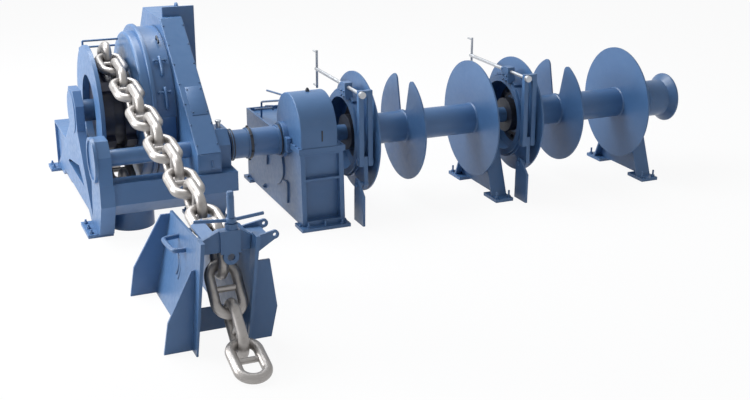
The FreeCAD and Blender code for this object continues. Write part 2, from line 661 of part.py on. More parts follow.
def pedestal(label, x):
    """Welded pedestal with a bearing, on two foot plates."""
    made = piece(label, x)
    half = "pedestal_width / 2"
    add(made, "YZ_Plane", "-" + half, "pedestal_width",
        outline(("-leg_foot", "foot_thick"), ("leg_foot", "foot_thick"), ("leg_top", "leg_high"),
                ("-leg_top", "leg_high")))
    for side in ("-" + half, "pedestal_web / 2"):
        cut(made, "YZ_Plane", side, "(pedestal_width - pedestal_web) / 2",
            outline(("-leg_foot + pedestal_flange", "foot_thick"), ("leg_foot - pedestal_flange", "foot_thick"),
                    ("leg_top - pedestal_flange", "leg_high"), ("-leg_top + pedestal_flange", "leg_high")))
    add(made, "YZ_Plane", "-" + half, "pedestal_width", circle("bearing_radius", "0", "axis_height"))
    add(made, "YZ_Plane", "-" + half, "pedestal_width",
        block("-cap_half", "axis_height - cap_thick / 2", "2 * cap_half", "cap_thick"))
    cut(made, "YZ_Plane", "-" + half, "pedestal_width",
        circle("shaft_radius + shaft_gap", "0", "axis_height"))
    for front in ("-foot_outer", "foot_inner"):
        add(made, "XY_Plane", "0", "foot_thick",
            block("-foot_width / 2", front, "foot_width", "foot_outer - foot_inner"))
    for across in ("-bolt_across / 2", "bolt_across / 2"):
        for along in ("-bolt_reach", "bolt_reach"):
            cut(made, "XY_Plane", "0", "foot_thick", circle("foot_bolt / 2", across, along))


pedestal("middle_pedestal", "0")
pedestal("end_pedestal", "drum_pitch")


# Shaft line

shaft = piece("main_shaft", "0", "0", "axis_height")
add(shaft, "YZ_Plane", "frame_left + side_gap", "head_start + head_length - frame_left - side_gap",
    circle("shaft_radius"))

head = piece("warping_head", "head_start", "0", "axis_height")
turn(head, outline(("0", "shaft_radius"), ("head_length - hub_depth", "shaft_radius"),
                   ("head_length - hub_depth", "head_radius - hub_depth"),
                   ("head_length", "head_radius"), ("head_length", "head_flare"),
                   ("head_length - head_rim", "head_flare"),
                   ("head_length - head_rim - head_slope", "head_radius"),
                   ("head_rim + head_slope", "head_radius"), ("head_rim", "head_inner"), ("0", "head_inner")))
soften(head, "edge_round", round_edge("head_flare"))

sleeve = piece("coupling_sleeve", "gear_case_right + side_gap", "0", "axis_height")
long = "(sleeve_length - boss_length - 2 * side_gap)"
turn(sleeve, outline(("0", "shaft_radius"), (long, "shaft_radius"), (long, "sleeve_ring"),
                     (long + " - end_ring", "sleeve_ring"), (long + " - end_ring", "sleeve_radius"),
                     ("ring_place + ring_width", "sleeve_radius"), ("ring_place + ring_width", "sleeve_ring"),
                     ("ring_place", "sleeve_ring"), ("ring_place", "sleeve_radius"),
                     ("end_ring", "sleeve_radius"), ("end_ring", "sleeve_ring"), ("0", "sleeve_ring")))


# Gearbox

gearbox = piece("gearbox_body", "gearbox_left")
add(gearbox, "YZ_Plane", "0", "gearbox_width",
    outline(("-gearbox_front", "foot_thick"), ("gearbox_rear", "foot_thick"), ("gearbox_rear", "gearbox_top"),
            ("-gearbox_front + gearbox_lean", "gearbox_top")))
inside = "gearbox_width - 2 * panel_edge"
for low, high, depth in (("foot_thick + panel_edge", "panel_high - panel_edge / 2", "panel_deep"),
                         ("panel_high", "gearbox_top - joint_thick - panel_edge / 2", "gearbox_lean + panel_shallow")):
    cut(gearbox, "XZ_Plane", "-gearbox_front - 1", depth, block("panel_edge", low, inside, "%s - (%s)" % (high, low)))
rear_end = "(dome_radius - dome_centre + joint_out)"
add(gearbox, "XY_Plane", "gearbox_top - joint_thick", "joint_thick",
    block("-joint_out", "-gearbox_front + gearbox_lean - joint_out", "gearbox_width + 2 * joint_out",
          "gearbox_front - gearbox_lean + joint_out + " + rear_end))
cut(gearbox, "XY_Plane", "gearbox_top - tray_depth", "tray_depth",
    block("tray_edge", rear_end + " + tray_edge", "gearbox_width - 2 * tray_edge",
          "gearbox_rear - 2 * tray_edge - " + rear_end))
for front in ("-gearbox_front - box_foot", "gearbox_rear - box_foot_back"):
    add(gearbox, "XY_Plane", "0", "foot_thick",
        block("-box_foot_side", front, "gearbox_width + 2 * box_foot_side", "box_foot_back + box_foot"))
add(gearbox, "YZ_Plane", "-boss_length", "boss_length + dome_left", circle("boss_radius", "0", "axis_height"))
add(gearbox, "YZ_Plane", "-boss_length", "boss_length",
    block("-boss_lug_reach", "axis_height - boss_lug_half", "boss_lug_reach", "2 * boss_lug_half"))
cut(gearbox, "YZ_Plane", "-boss_length", "gearbox_width + boss_length + joint_out",
    circle("shaft_radius + shaft_gap", "0", "axis_height"))

dome = piece("gearbox_cover", "gearbox_left + dome_left")
dome_width = "gearbox_width - dome_left - dome_right"
add(dome, "YZ_Plane", "0", dome_width,
    block("-dome_centre - dome_radius", "gearbox_top", "2 * dome_radius", "dome_top - dome_radius - gearbox_top"))
add(dome, "YZ_Plane", "0", dome_width, circle("dome_radius", "-dome_centre", "dome_top - dome_radius"))
cut(dome, "YZ_Plane", "0", dome_width, circle("shaft_radius + shaft_gap", "0", "axis_height"))
cut(dome, "YZ_Plane", "0", dome_width,
    block("-dome_centre - dome_radius", "gearbox_top - dome_radius", "2 * dome_radius", "dome_radius"))
soften(dome, "edge_round", round_edge("dome_radius"))


# Windlass frame and bearings

frame = piece("windlass_frame", "frame_left")
sole_front = "(frame_foot + chain_bar)"
add(frame, "YZ_Plane", "0", "frame_thick",
    outline((sole_front, "foot_thick"), ("sole_start - sole_low", "foot_thick"), ("sole_start", "sole_low"),
            ("sole_end", "sole_low"), ("sole_end + sole_low", "foot_thick"), ("frame_rear - foot_thick", "foot_thick"),
            ("seat_rear", "seat_low - sole_low"), ("seat_rear", "seat_low"), ("seat_front", "seat_low"),
            ("seat_front", "seat_low - chain_bar")))
cut(frame, "YZ_Plane", "0", "frame_thick",
    outline(("gap_front", "sole_high"), ("gap_rear", "sole_high"), ("gap_bend", "gap_bend_high"),
            ("gap_peak", "gap_high")))
cut(frame, "YZ_Plane", "0", "frame_thick", circle("wheel_shaft_radius + shaft_gap", "wheel_front", "wheel_height"))
leg_top = "axis_height - low_block"
add(frame, "YZ_Plane", "0", "leg_width",
    outline(("-leg_front", leg_top), ("leg_front + foot_thick", leg_top), ("leg_back", "foot_thick"),
            ("0", "foot_thick"), ("-leg_front", "leg_bend")))
plate = "pedestal_flange"
add(frame, "YZ_Plane", "frame_thick / 3", "stand_width - frame_thick / 3",
    block("stand_front", "foot_thick", "frame_rear - stand_front", "stand_height - foot_thick"))
add(frame, "YZ_Plane", "0", "stand_width",
    block("stand_front", "stand_height - " + plate, "frame_rear - stand_front", plate))
add(frame, "YZ_Plane", "0", "stand_width",
    block("frame_rear - " + plate, "foot_thick", plate, "stand_height - foot_thick"))
add(frame, "XY_Plane", "0", "foot_thick",
    block("-foot_out", "foot_thick", "leg_width + foot_out", "frame_foot + 3 * box_foot"),
    block("-foot_out", "frame_rear - frame_foot", "2 * leg_width", "frame_foot + foot_thick"))


def block_shape(front, rear, low, shoulder, high, high_front, high_rear):
    """House-shaped outline of a bearing."""
    return outline((front, low), (rear, low), (rear, shoulder), (high_rear, high), (high_front, high),
                   (front, shoulder))


def low_bearing(label, x, low):
    """Bearing of the drum shaft in the windlass."""
    made = piece(label, x, "0", "axis_height")
    add(made, "YZ_Plane", "0", "low_width",
        block_shape("-block_half", "block_half", low, "block_shoulder", "block_top", "-block_top_front",
                    "block_top_rear"))
    cut(made, "YZ_Plane", "0", "low_width", circle("shaft_radius + shaft_gap"))
    return made


left_bearing = low_bearing("shaft_left_bearing", "frame_left", "-low_block")
add(left_bearing, "YZ_Plane", "-end_cap_thick", "end_cap_thick", circle("end_cap_radius"))
cut(left_bearing, "YZ_Plane", "-end_cap_thick", "end_cap_thick / 2", circle("end_cap_radius - end_cap_edge"))
low_bearing("shaft_right_bearing", "gear_case_left + cover_width + seat_gap", "base_top - axis_height")

high_bearing = piece("wheel_left_bearing", "frame_left", "wheel_front", "wheel_height")
add(high_bearing, "YZ_Plane", "0", "frame_thick",
    block_shape("-high_front", "high_rear", "seat_low - wheel_height", "high_shoulder", "high_top",
                "-high_top_front", "high_top_rear"))
cut(high_bearing, "YZ_Plane", "0", "frame_thick", circle("wheel_shaft_radius + shaft_gap"))
add(high_bearing, "YZ_Plane", "-high_cap", "high_cap", circle("end_cap_radius"))

beam = piece("front_cross_beam", "frame_left + leg_width")
add(beam, "YZ_Plane", "0", "gear_case_left - frame_left - leg_width",
    outline(("-beam_front_face", "beam_bend"), ("0", "beam_low"), ("beam_back", "beam_low"),
            ("beam_back", "beam_top"), ("-beam_front_face", "beam_top")))


# Chain wheel

wheel_shaft = piece("wheel_shaft", "frame_left", "wheel_front", "wheel_height")
add(wheel_shaft, "YZ_Plane", "0", "gear_case_left - frame_left", circle("wheel_shaft_radius"))

disc = piece("wheel_left_disc", "disc_left", "wheel_front", "wheel_height")
add(disc, "YZ_Plane", "0", "disc_plate", circle("disc_radius"), circle("disc_hole"))
add(disc, "YZ_Plane", "0", "disc_rim", circle("disc_radius"), circle("disc_radius - disc_wall"))
add(disc, "YZ_Plane", "0", "disc_width", circle("disc_hole + disc_wall"), circle("disc_hole"))

wheel = piece("chain_wheel", "chain_plane", "wheel_front", "wheel_height")
turn(wheel, outline(("-wheel_half", "wheel_shaft_radius"), ("wheel_half", "wheel_shaft_radius"),
                    ("wheel_half", "pocket_radius"), ("groove_half", "pocket_radius"),
                    ("groove_half", "groove_radius"), ("-groove_half", "groove_radius"),
                    ("-groove_half", "pocket_radius"), ("-wheel_half", "pocket_radius")))
for i in range(WHELPS):
    turned = "(leave_angle - upright_angle + %d * 2 * turn_angle)" % i
    for start in ("-wheel_half", "groove_half"):
        add(wheel, "YZ_Plane", start, "wheel_half - groove_half",
            spoke(turned, "groove_radius", "(pocket_radius + whelp_rise)", "whelp_half"))

cheek = piece("wheel_right_cheek", "cheek_left", "wheel_front", "wheel_height")
add(cheek, "YZ_Plane", "cheek_shy", "cheek_width - cheek_shy", circle("cheek_radius"), circle("wheel_shaft_radius"))
soften(cheek, "cheek_round", round_edge("cheek_radius", "cheek_shy"))
add(cheek, "YZ_Plane", "0", "cheek_shy", circle("pocket_radius"), circle("wheel_shaft_radius"))

case = piece("brake_band_case", "band_case_left", "wheel_front + band_case_back", "wheel_height")
hole = circle("wheel_shaft_radius", "-band_case_back", "0")
add(case, "YZ_Plane", "0", "band_case_width", circle("band_case_radius"), hole)
add(case, "YZ_Plane", "0", "bead_width", circle("bead_radius"), hole)
soften(case, "bead_round", round_edge("bead_radius", "0"))


def guard_bar(label, rear, rise):
    """Bar over the chain, from a post on the left disc to the right cheek."""
    made = piece(label, "disc_left + disc_rim / 2", "wheel_front + " + rear, "wheel_height")
    add(made, "YZ_Plane", "0", "cheek_left - disc_left - disc_rim / 2", circle("guard_radius", "0", rise))
    rim_top = "(sqrt(disc_radius ^ 2 - (%s - guard_radius) ^ 2) + seat_gap)" % rear
    add(made, "XY_Plane", rim_top, "%s - %s" % (rise, rim_top), circle("guard_radius"))


guard_bar("front_guard_bar", "guard_near", "guard_near_rise")
guard_bar("rear_guard_bar", "guard_far", "guard_far_rise")


# Gear case

cover = piece("gear_case_cover", "gear_case_left")
add(cover, "YZ_Plane", "0", "cover_width",
    outline(("-cover_front", "base_top"), ("-cover_front", "cover_nose"), ("cover_back", "cover_high"),
            ("case_front", "cover_high"), ("case_front", "base_top")))
cut(cover, "YZ_Plane", "0", "cover_width", circle("shaft_radius + shaft_gap", "0", "axis_height"))
soften(cover, "edge_round", lambda edge: abs(edge.CenterOfMass.y - number("(cover_back - cover_front) / 2")) < 1
       and abs(edge.CenterOfMass.z - number("(cover_high + cover_nose) / 2")) < 1)

gear_case = piece("gear_case_body", "gear_case_left")
add(gear_case, "YZ_Plane", "0", "gear_case_width",
    outline(("case_front", "base_top"), ("case_front", "case_top"), ("case_bend", "case_top"),
            ("case_rear", "case_slope_end"), ("case_rear", "base_top")))
add(gear_case, "XZ_Plane", "case_front", "screen_thick",
    block("screen_shift", "base_top", "gear_case_width - screen_shift", "screen_top - base_top"))

base = piece("gear_case_base", "gear_case_left")
add(base, "YZ_Plane", "0", "gear_case_width",
    block("-base_front", "base_low", "base_front + case_rear", "base_top - base_low"))
stem_width = "gear_case_width - 2 * stem_inset"
add(base, "YZ_Plane", "stem_inset", stem_width,
    outline(("-stem_front", "base_low"), ("-stem_front + stem_depth", "base_low"),
            ("stem_foot + stem_depth", "foot_thick"), ("stem_foot", "foot_thick")))
add(base, "YZ_Plane", "stem_inset", stem_width,
    block("stem_rear", "foot_thick", "stem_depth", "base_low - foot_thick"))
for start in ("stem_foot - stem_flare", "stem_rear - stem_flare"):
    add(base, "XY_Plane", "0", "foot_thick", block("0", start, "gear_case_width", "stem_depth + 2 * stem_flare"))


# Chain pipe

pipe = piece("chain_pipe", "chain_plane - pipe_shift", "pipe_front")
add(pipe, "XY_Plane", "0", "pipe_height", circle("pipe_radius"), circle("pipe_radius - pipe_wall"))
cut(pipe, "XY_Plane", "foot_thick / 2", "pipe_height",
    block("pipe_shift - pipe_notch", "pipe_radius / 2", "2 * pipe_notch", "pipe_radius"))


# Anchor chain

def link_shape(bar):
    """Studded link, 6 bars long and 3.6 wide, lying in the XY plane along X."""
    turn_radius = 1.3 * bar
    straight = 2.4 * bar
    rod = bar / 2
    ends = []
    for side in (-1, 1):
        ring = Part.makeTorus(turn_radius, rod, FreeCAD.Vector(side * straight / 2, 0, 0), FreeCAD.Vector(0, 0, 1))
        room = Part.makeBox(4 * bar, 6 * bar, 2 * bar, FreeCAD.Vector(min(side, 0) * 4 * bar, -3 * bar, -bar))
        room.translate(FreeCAD.Vector(side * straight / 2, 0, 0))
        ends.append(ring.common(room))
    rods = []
    for side in (-1, 1):
        start = FreeCAD.Vector(-straight / 2, side * turn_radius, 0)
        rods.append(Part.makeCylinder(rod, straight, start, FreeCAD.Vector(1, 0, 0)))
    stud = Part.makeCylinder(0.3 * bar, 2 * turn_radius, FreeCAD.Vector(0, -turn_radius, 0), FreeCAD.Vector(0, 1, 0))
    return ends[0].multiFuse([ends[1]] + rods + [stud])


def heading(rise, drift):
    """Direction away from the stopper, which rises and drifts sideways by angles."""
    rise = math.radians(rise)
    drift = math.radians(drift)
    return FreeCAD.Vector(-math.sin(drift) * math.cos(rise), math.cos(drift) * math.cos(rise), math.sin(rise))


def put_link(link, spot, ahead, flat):
    """Copy of the link from spot along a direction, and the spot where its neighbour starts.

    Spots are the centres of the upright links' round ends.
    """
    reach = number("flat_reach") if flat else number("upright_reach")
    side = ahead.cross(FreeCAD.Vector(0, 0, 1)).normalize()
    up = side.cross(ahead)
    if flat:
        turned = FreeCAD.Rotation(ahead, side, up, "XZY")
    else:
        turned = FreeCAD.Rotation(ahead, up, ahead.cross(up), "XZY")
    shape = link.copy()
    shape.Placement = FreeCAD.Placement(spot + ahead * (reach / 2), turned)
    return shape, spot + ahead * reach


link = link_shape(number("chain_bar"))
fall = number("chain_fall")
leave = FreeCAD.Vector(number("chain_plane"), number("leave_front"), number("leave_height"))
links = []

# Over the wheel and down to the chain pipe
spot = leave
rise = number("leave_angle - upright_angle") - 90
flat = False
for i in range(WRAP_LINKS):
    shape, spot = put_link(link, spot, heading(rise, 0), flat)
    links.append(shape)
    rise = rise - number("turn_angle")
    flat = not flat
for slope in (STRIP_SLOPE, PIPE_SLOPE):
    shape, spot = put_link(link, spot, heading(slope - 180, 0), flat)
    links.append(shape)
    flat = not flat

# From the wheel to the stopper and onto the deck
slopes = [fall] * (2 * FLAT_LINKS - 1) + [ENTRY_SLOPE, STOPPER_SLOPE, EXIT_SLOPE]
spot = leave
flat = True
for slope in slopes:
    shape, spot = put_link(link, spot, heading(slope, CHAIN_DRIFT) * -1, flat)
    links.append(shape)
    flat = not flat
drop = spot.z - number("chain_bar / 2 + seat_gap")
slope = math.degrees(math.asin(drop / number("5.3 * chain_bar - chain_gap / 2")))
links.append(put_link(link, spot, heading(slope, 0) * -1, flat)[0])

anchor_chain = doc.addObject("Part::Feature", "anchor_chain")
anchor_chain.Label = "anchor_chain"
anchor_chain.Shape = Part.makeCompound(links)
pieces.append(anchor_chain)


# Chain stopper

def leaning(x, height):
    """Corner of the stopper, which leans sideways."""
    return "%s - stopper_lean * (1 - (%s) / guide_top)" % (x, height), height


def stopper_side(label, side, bend, top):
    """Leaning side plate with its wings and the guide bar on its front edge."""
    made = piece(label, "stopper_place")

    def corner(x, height):
        return leaning("%d * (%s)" % (side, x), height)

    inner = " - stopper_plate"
    blend(made,
          ("-stopper_gap", (corner("stopper_foot", "0"), corner("stopper_close", "stopper_low"),
                            corner("stopper_close" + inner, "stopper_low"), corner("stopper_foot" + inner, "0"))),
          ("stopper_front", (corner("stopper_foot", "0"), corner("stopper_half", "stopper_high"),
                             corner("stopper_half" + inner, "stopper_high"), corner("stopper_foot" + inner, "0"))))
    middle = " - stopper_plate / 2"
    wings = (("-stopper_gap - stopper_plate", "stopper_close", "rear_top", "stopper_low - stopper_plate"),
             ("stopper_front + wing_back", "stopper_foot", top, "wing_top"))
    for front, root, tip, height in wings:
        add(made, "XZ_Plane", front, "stopper_plate",
            outline(corner("stopper_foot" + middle, "0"), corner("wing_foot", "0"), corner(bend, "wing_bend"),
                    corner(tip, height), corner(root + middle, height)))
    add(made, "XZ_Plane", "stopper_front - guide_out", "guide_depth",
        outline(corner("stopper_foot", "0"), corner("stopper_half", "guide_top"),
                corner("stopper_half - guide_thick", "guide_top"), corner("stopper_foot - guide_thick / 2", "0")))
    return made


stopper_side("stopper_left_side", -1, "left_bend", "left_top")
right = stopper_side("stopper_right_side", 1, "right_bend", "right_top")
for front, inner in (("-gable_front", "stopper_half - stopper_plate"),
                     ("-gable_front + hinge_apart", "stopper_half - 2 * stopper_plate")):
    add(right, "XZ_Plane", front, "hinge_thick",
        outline(leaning(inner, "hinge_height - hinge_root"), ("hinge_reach", "hinge_height - hinge_radius"),
                ("hinge_reach", "hinge_height + hinge_radius"), leaning(inner, "hinge_height")))
    add(right, "XZ_Plane", front, "hinge_thick", circle("hinge_radius", "hinge_reach", "hinge_height"))
    cut(right, "XZ_Plane", front, "hinge_thick", circle("hinge_hole", "hinge_reach", "hinge_height"))

add(right, "XZ_Plane", "-gable_front", "hinge_apart",
    block("stopper_half - stopper_plate", "hinge_height - 2 * hinge_plate",
          "hinge_reach - hinge_radius - stopper_half + stopper_plate", "hinge_plate"))

inner_half = "(stopper_foot - cross_inset)"
cross = piece("stopper_cross_plate", "stopper_place")
add(cross, "XZ_Plane", "-cross_front", "stopper_plate",
    outline(leaning("-" + inner_half, "0"), leaning(inner_half, "0"), leaning(inner_half, "cross_height"),
            leaning("-" + inner_half, "cross_height")))

gable_half = "(stopper_half - gable_inset)"
gable = piece("stopper_cross_beam", "stopper_place")
add(gable, "XZ_Plane", "-gable_front", "gable_depth",
    outline(leaning("-" + gable_half, "gable_low"), leaning(gable_half, "gable_low"),
            leaning(gable_half, "gable_end"), ("gable_right", "gable_high"), ("-gable_left", "gable_high"),
            leaning("-" + gable_half, "gable_end")))
add(gable, "XZ_Plane", "-gable_front - pad_out", "pad_out",
    block("-pad_left", "pad_low", "pad_left + gable_right", "gable_high - pad_low"))
eye_place = "((gable_right - pad_left) / 2)"
add(gable, "XZ_Plane", "-gable_front - pad_out", "eye_thick", circle("eye_radius", eye_place, "eye_height"))
cut(gable, "XZ_Plane", "-gable_front - pad_out", "eye_thick", circle("eye_hole", eye_place, "eye_height"))
roof_end = "-gable_front + gable_depth"
for side, flat, edge, length in ((-1, "gable_left", "roof_left", "roof_long"),
                                 (1, "gable_right", "roof_right", "roof_short")):
    def roof_corner(x, drop):
        """Corner of the roof under the beam's sloping top."""
        fall = "(gable_high - gable_end) / (%s - %s)" % (gable_half, flat)
        return "%d * (%s)" % (side, x), "gable_high - (%s - %s) * %s - %s" % (x, flat, fall, drop)

    add(gable, "XZ_Plane", roof_end, length,
        outline(roof_corner("roof_outer", "0"), roof_corner(edge, "0"), roof_corner(edge, "roof_thick"),
                roof_corner("roof_outer", "roof_thick")))
screw_front = "-gable_front + gable_depth / 2"
add(gable, "XY_Plane", "gable_end", "boss_top - gable_end", circle("boss_wide", "screw_shift", screw_front))
cut(gable, "XY_Plane", "screw_low - side_gap", "boss_top - screw_low + side_gap",
    circle("screw_radius + shaft_gap", "screw_shift", screw_front))

sill = piece("stopper_sill", "stopper_place")
add(sill, "XZ_Plane", "-sill_front", "sill_depth",
    outline(leaning("-sill_half", "sill_top"), leaning("sill_half", "sill_top"),
            leaning("sill_half", "sill_top - sill_thick"), leaning("-sill_half", "sill_top - sill_thick")))

screw = piece("stopper_screw", "stopper_place + screw_shift", screw_front, "0")
add(screw, "XY_Plane", "screw_low", "screw_top - screw_low", circle("screw_radius"))
for angle in (ARM_ANGLE, 180 - ARM_ANGLE):
    arm = screw.newObject("PartDesign::AdditiveCylinder", "screw_arm")
    lying = FreeCAD.Rotation(FreeCAD.Vector(0, 1, 0), 90)
    arm.Placement.Rotation = FreeCAD.Rotation(FreeCAD.Vector(0, 0, 1), angle) * lying
    arm.setExpression("Placement.Base.z", bound("arm_height"))
    arm.setExpression("Radius", bound("arm_radius"))
    arm.setExpression("Height", bound("arm_reach"))
    screw.Tip = arm


# Checks and files

doc.recompute()
for thing in doc.Objects:
    if "Invalid" in thing.State or "Error" in thing.State:
        raise RuntimeError("failed: %s %s" % (thing.Name, thing.State))
for made in pieces:
    if made.Shape.isNull() or not made.Shape.isValid():
        raise RuntimeError("bad shape: " + made.Label)

os.makedirs("parts", exist_ok=True)
for made in pieces:
    made.Shape.exportStep("parts/%s.step" % made.Label)
    box = made.Shape.BoundBox
    print("%-24s %2d solids  x %.0f..%.0f  y %.0f..%.0f  z %.0f..%.0f" % (
        made.Label, len(made.Shape.Solids), box.XMin, box.XMax, box.YMin, box.YMax, box.ZMin, box.ZMax))
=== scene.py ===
import math

import bpy
from mathutils import Matrix, Vector


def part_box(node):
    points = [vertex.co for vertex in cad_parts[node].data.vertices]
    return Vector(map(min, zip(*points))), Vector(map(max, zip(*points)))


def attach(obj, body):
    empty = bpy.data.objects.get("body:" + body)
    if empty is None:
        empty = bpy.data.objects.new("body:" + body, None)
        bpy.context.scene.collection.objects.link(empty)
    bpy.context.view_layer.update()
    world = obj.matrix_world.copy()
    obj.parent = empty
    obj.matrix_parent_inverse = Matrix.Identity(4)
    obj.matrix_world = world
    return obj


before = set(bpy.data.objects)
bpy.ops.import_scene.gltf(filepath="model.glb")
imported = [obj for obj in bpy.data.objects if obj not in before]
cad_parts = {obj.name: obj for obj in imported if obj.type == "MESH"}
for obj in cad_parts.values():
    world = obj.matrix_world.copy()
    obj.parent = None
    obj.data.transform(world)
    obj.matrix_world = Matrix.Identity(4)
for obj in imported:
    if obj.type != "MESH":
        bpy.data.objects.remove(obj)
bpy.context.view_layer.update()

# Combined anchor windlass and mooring winch in blue deck paint, with a bare steel chain.
# X runs along the drum shaft towards the warping head, Y away from the chain stopper, Z up.
# Lengths are in metres.

# Directions
RIGHT = (1, 0, 0)
LEFT = (-1, 0, 0)
UP = (0, 0, 1)

# How far the gearbox body stands out past its cover, and the depth of its tray
COVER_INSET_LEFT = 0.008
COVER_INSET_RIGHT = 0.082
TRAY_DEPTH = 0.045

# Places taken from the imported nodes
SHAFT_HEIGHT = sum(corner[2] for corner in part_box("main_shaft")) / 2
CASE_FRONT = sum(corner[1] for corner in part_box("brake_band_case")) / 2
CASE_HEIGHT = sum(corner[2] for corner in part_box("brake_band_case")) / 2
CASE_BEAD = 0.04
CASE_RADIUS = (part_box("brake_band_case")[1][2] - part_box("brake_band_case")[0][2]) / 2 - CASE_BEAD
GEARBOX_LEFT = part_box("gearbox_cover")[0][0] - COVER_INSET_LEFT
GEARBOX_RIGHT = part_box("gearbox_cover")[1][0] + COVER_INSET_RIGHT
GEARBOX_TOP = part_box("gearbox_cover")[0][2]
TRAY_FLOOR = GEARBOX_TOP - TRAY_DEPTH
COVER_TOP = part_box("gearbox_cover")[1][2]
COVER_MIDDLE = sum(corner[1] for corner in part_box("gearbox_cover")) / 2
COVER_RADIUS = (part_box("gearbox_cover")[1][1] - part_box("gearbox_cover")[0][1]) / 2

# Top of the foot plates, and the lower and upper end of the gear cover's slanted face as Y and Z
FOOT_TOP = 0.045
SLOPE_LOW = (-0.4, 1.07)
SLOPE_HIGH = (1.25, 2.47)

# The photograph's width and the camera fitted to it, in pixels
PHOTO_WIDTH = 750
FOCAL_LENGTH = 1149.286
CENTRE_SHIFT = (-9.97, 0.82)

DECK = "deck_body"
SHAFT = "main_shaft_body"


# Edit-mode helpers

def deselect():
    """Nothing selected in object mode."""
    bpy.ops.object.select_all(action="DESELECT")


def only(piece):
    """Only this piece selected and active."""
    deselect()
    piece.select_set(True)
    bpy.context.view_layer.objects.active = piece


def pick(piece, chosen):
    """Edit mode, with the faces selected that chosen accepts."""
    only(piece)
    bpy.ops.object.mode_set(mode="EDIT")
    bpy.ops.mesh.select_mode(type="FACE")
    bpy.ops.mesh.select_all(action="DESELECT")
    bpy.ops.object.mode_set(mode="OBJECT")
    for face in piece.data.polygons:
        face.select = chosen(face)
    bpy.ops.object.mode_set(mode="EDIT")


def leave_edit():
    """Back to object mode."""
    bpy.ops.object.mode_set(mode="OBJECT")


def apply_place(piece):
    """The piece's place moved into its mesh."""
    only(piece)
    bpy.ops.object.transform_apply(location=True, rotation=True, scale=True)


def soften(piece, width, segments=2, angle=35):
    """Rounded edges where faces meet sharply."""
    only(piece)
    bevel = piece.modifiers.new("soft_edges", "BEVEL")
    bevel.width = width
    bevel.segments = segments
    bevel.limit_method = "ANGLE"
    bevel.angle_limit = math.radians(angle)
    bpy.ops.object.modifier_apply(modifier=bevel.name)


def turn_outward(piece):
    """Doubled points merged and faces turned outwards."""
    pick(piece, lambda face: True)
    bpy.ops.mesh.remove_doubles(threshold=0.00001)
    bpy.ops.mesh.normals_make_consistent(inside=False)
    leave_edit()


def settle(piece, name, body, finish, soft=0.002):
    """A finished piece: named, softened, painted and riding on its body."""
    apply_place(piece)
    if soft:
        soften(piece, soft)
    piece.name = name
    piece.data.name = name
    piece.data.materials.clear()
    piece.data.materials.append(finish)
    only(piece)
    bpy.ops.object.shade_smooth_by_angle(angle=math.radians(32))
    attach(piece, body)
    return piece


def joined(parts):
    """Several parts as one piece."""
    for part in parts:
        apply_place(part)
    deselect()
    for part in parts:
        part.select_set(True)
    bpy.context.view_layer.objects.active = parts[0]
    bpy.ops.object.join()
    return bpy.context.object


# Basic parts

def along(axis):
    """Turn that lays the Z axis along a direction."""
    return Vector(axis).to_track_quat("Z", "Y").to_euler()


def rod(start, end, radius, sides=20):
    """Round bar from start to end, with its end rims bevelled."""
    start = Vector(start)
    end = Vector(end)
    deselect()
    bpy.ops.mesh.primitive_cylinder_add(vertices=sides, radius=radius, depth=(end - start).length,
                                        location=(start + end) / 2, rotation=along(end - start))
    bar = bpy.context.object
    soften(bar, radius * 0.18, 1, 60)
    return bar


def plate(low, high):
    """Flat plate between two corners."""
    low = Vector(low)
    high = Vector(high)
    deselect()
    bpy.ops.mesh.primitive_cube_add(size=1, location=(low + high) / 2)
    slab = bpy.context.object
    slab.scale = high - low
    apply_place(slab)
    return slab


def ring(centre, axis, outer, inner, length, sides=64):
    """Flat ring, standing from its centre along an axis."""
    direction = Vector(axis).normalized()
    deselect()
    bpy.ops.mesh.primitive_cylinder_add(vertices=sides, radius=outer, depth=length)
    band = bpy.context.object
    pick(band, lambda face: abs(face.normal.z) > 0.9)
    bpy.ops.mesh.inset(thickness=outer - inner)
    bpy.ops.mesh.bridge_edge_loops()
    leave_edit()
    turn_outward(band)
    band.rotation_euler = along(axis)
    band.location = Vector(centre) + direction * (length / 2)
    apply_place(band)
    return band


def bent_bar(points, radius, order=3):
    """Round bar that bends smoothly along a few points."""
    curve = bpy.data.curves.new("bent_bar", "CURVE")
    curve.dimensions = "3D"
    curve.bevel_depth = radius
    curve.bevel_resolution = 4
    curve.use_fill_caps = True
    run = curve.splines.new("NURBS")
    run.points.add(len(points) - 1)
    for knot, place in zip(run.points, points):
        knot.co = (*place, 1)
    run.use_endpoint_u = True
    run.order_u = order
    bar = bpy.data.objects.new("bent_bar", curve)
    bpy.context.collection.objects.link(bar)
    only(bar)
    bpy.ops.object.convert(target="MESH")
    bar = bpy.context.object
    turn_outward(bar)
    return bar


def nut(radius, stud=0.0):
    """Hexagon nut on a washer at the origin, with a stud standing out of it along Z."""
    deselect()
    bpy.ops.mesh.primitive_cylinder_add(vertices=24, radius=radius * 1.25, depth=radius * 0.2,
                                        location=(0, 0, radius * 0.1))
    washer = bpy.context.object
    deselect()
    height = radius * 0.8
    bpy.ops.mesh.primitive_cylinder_add(vertices=6, radius=radius, depth=height,
                                        location=(0, 0, radius * 0.2 + height / 2))
    hexagon = bpy.context.object
    apply_place(hexagon)
    pick(hexagon, lambda face: face.normal.z > 0.9)
    bpy.ops.mesh.bevel(offset=radius * 0.1, segments=1, affect="EDGES")
    leave_edit()
    deselect()
    reach = radius * 1.1 + stud
    bpy.ops.mesh.primitive_cylinder_add(vertices=12, radius=radius * 0.52, depth=reach,
                                        location=(0, 0, reach / 2 + radius * 0.2))
    bolt = bpy.context.object
    soften(bolt, radius * 0.08, 1, 60)
    return joined([washer, hexagon, bolt])


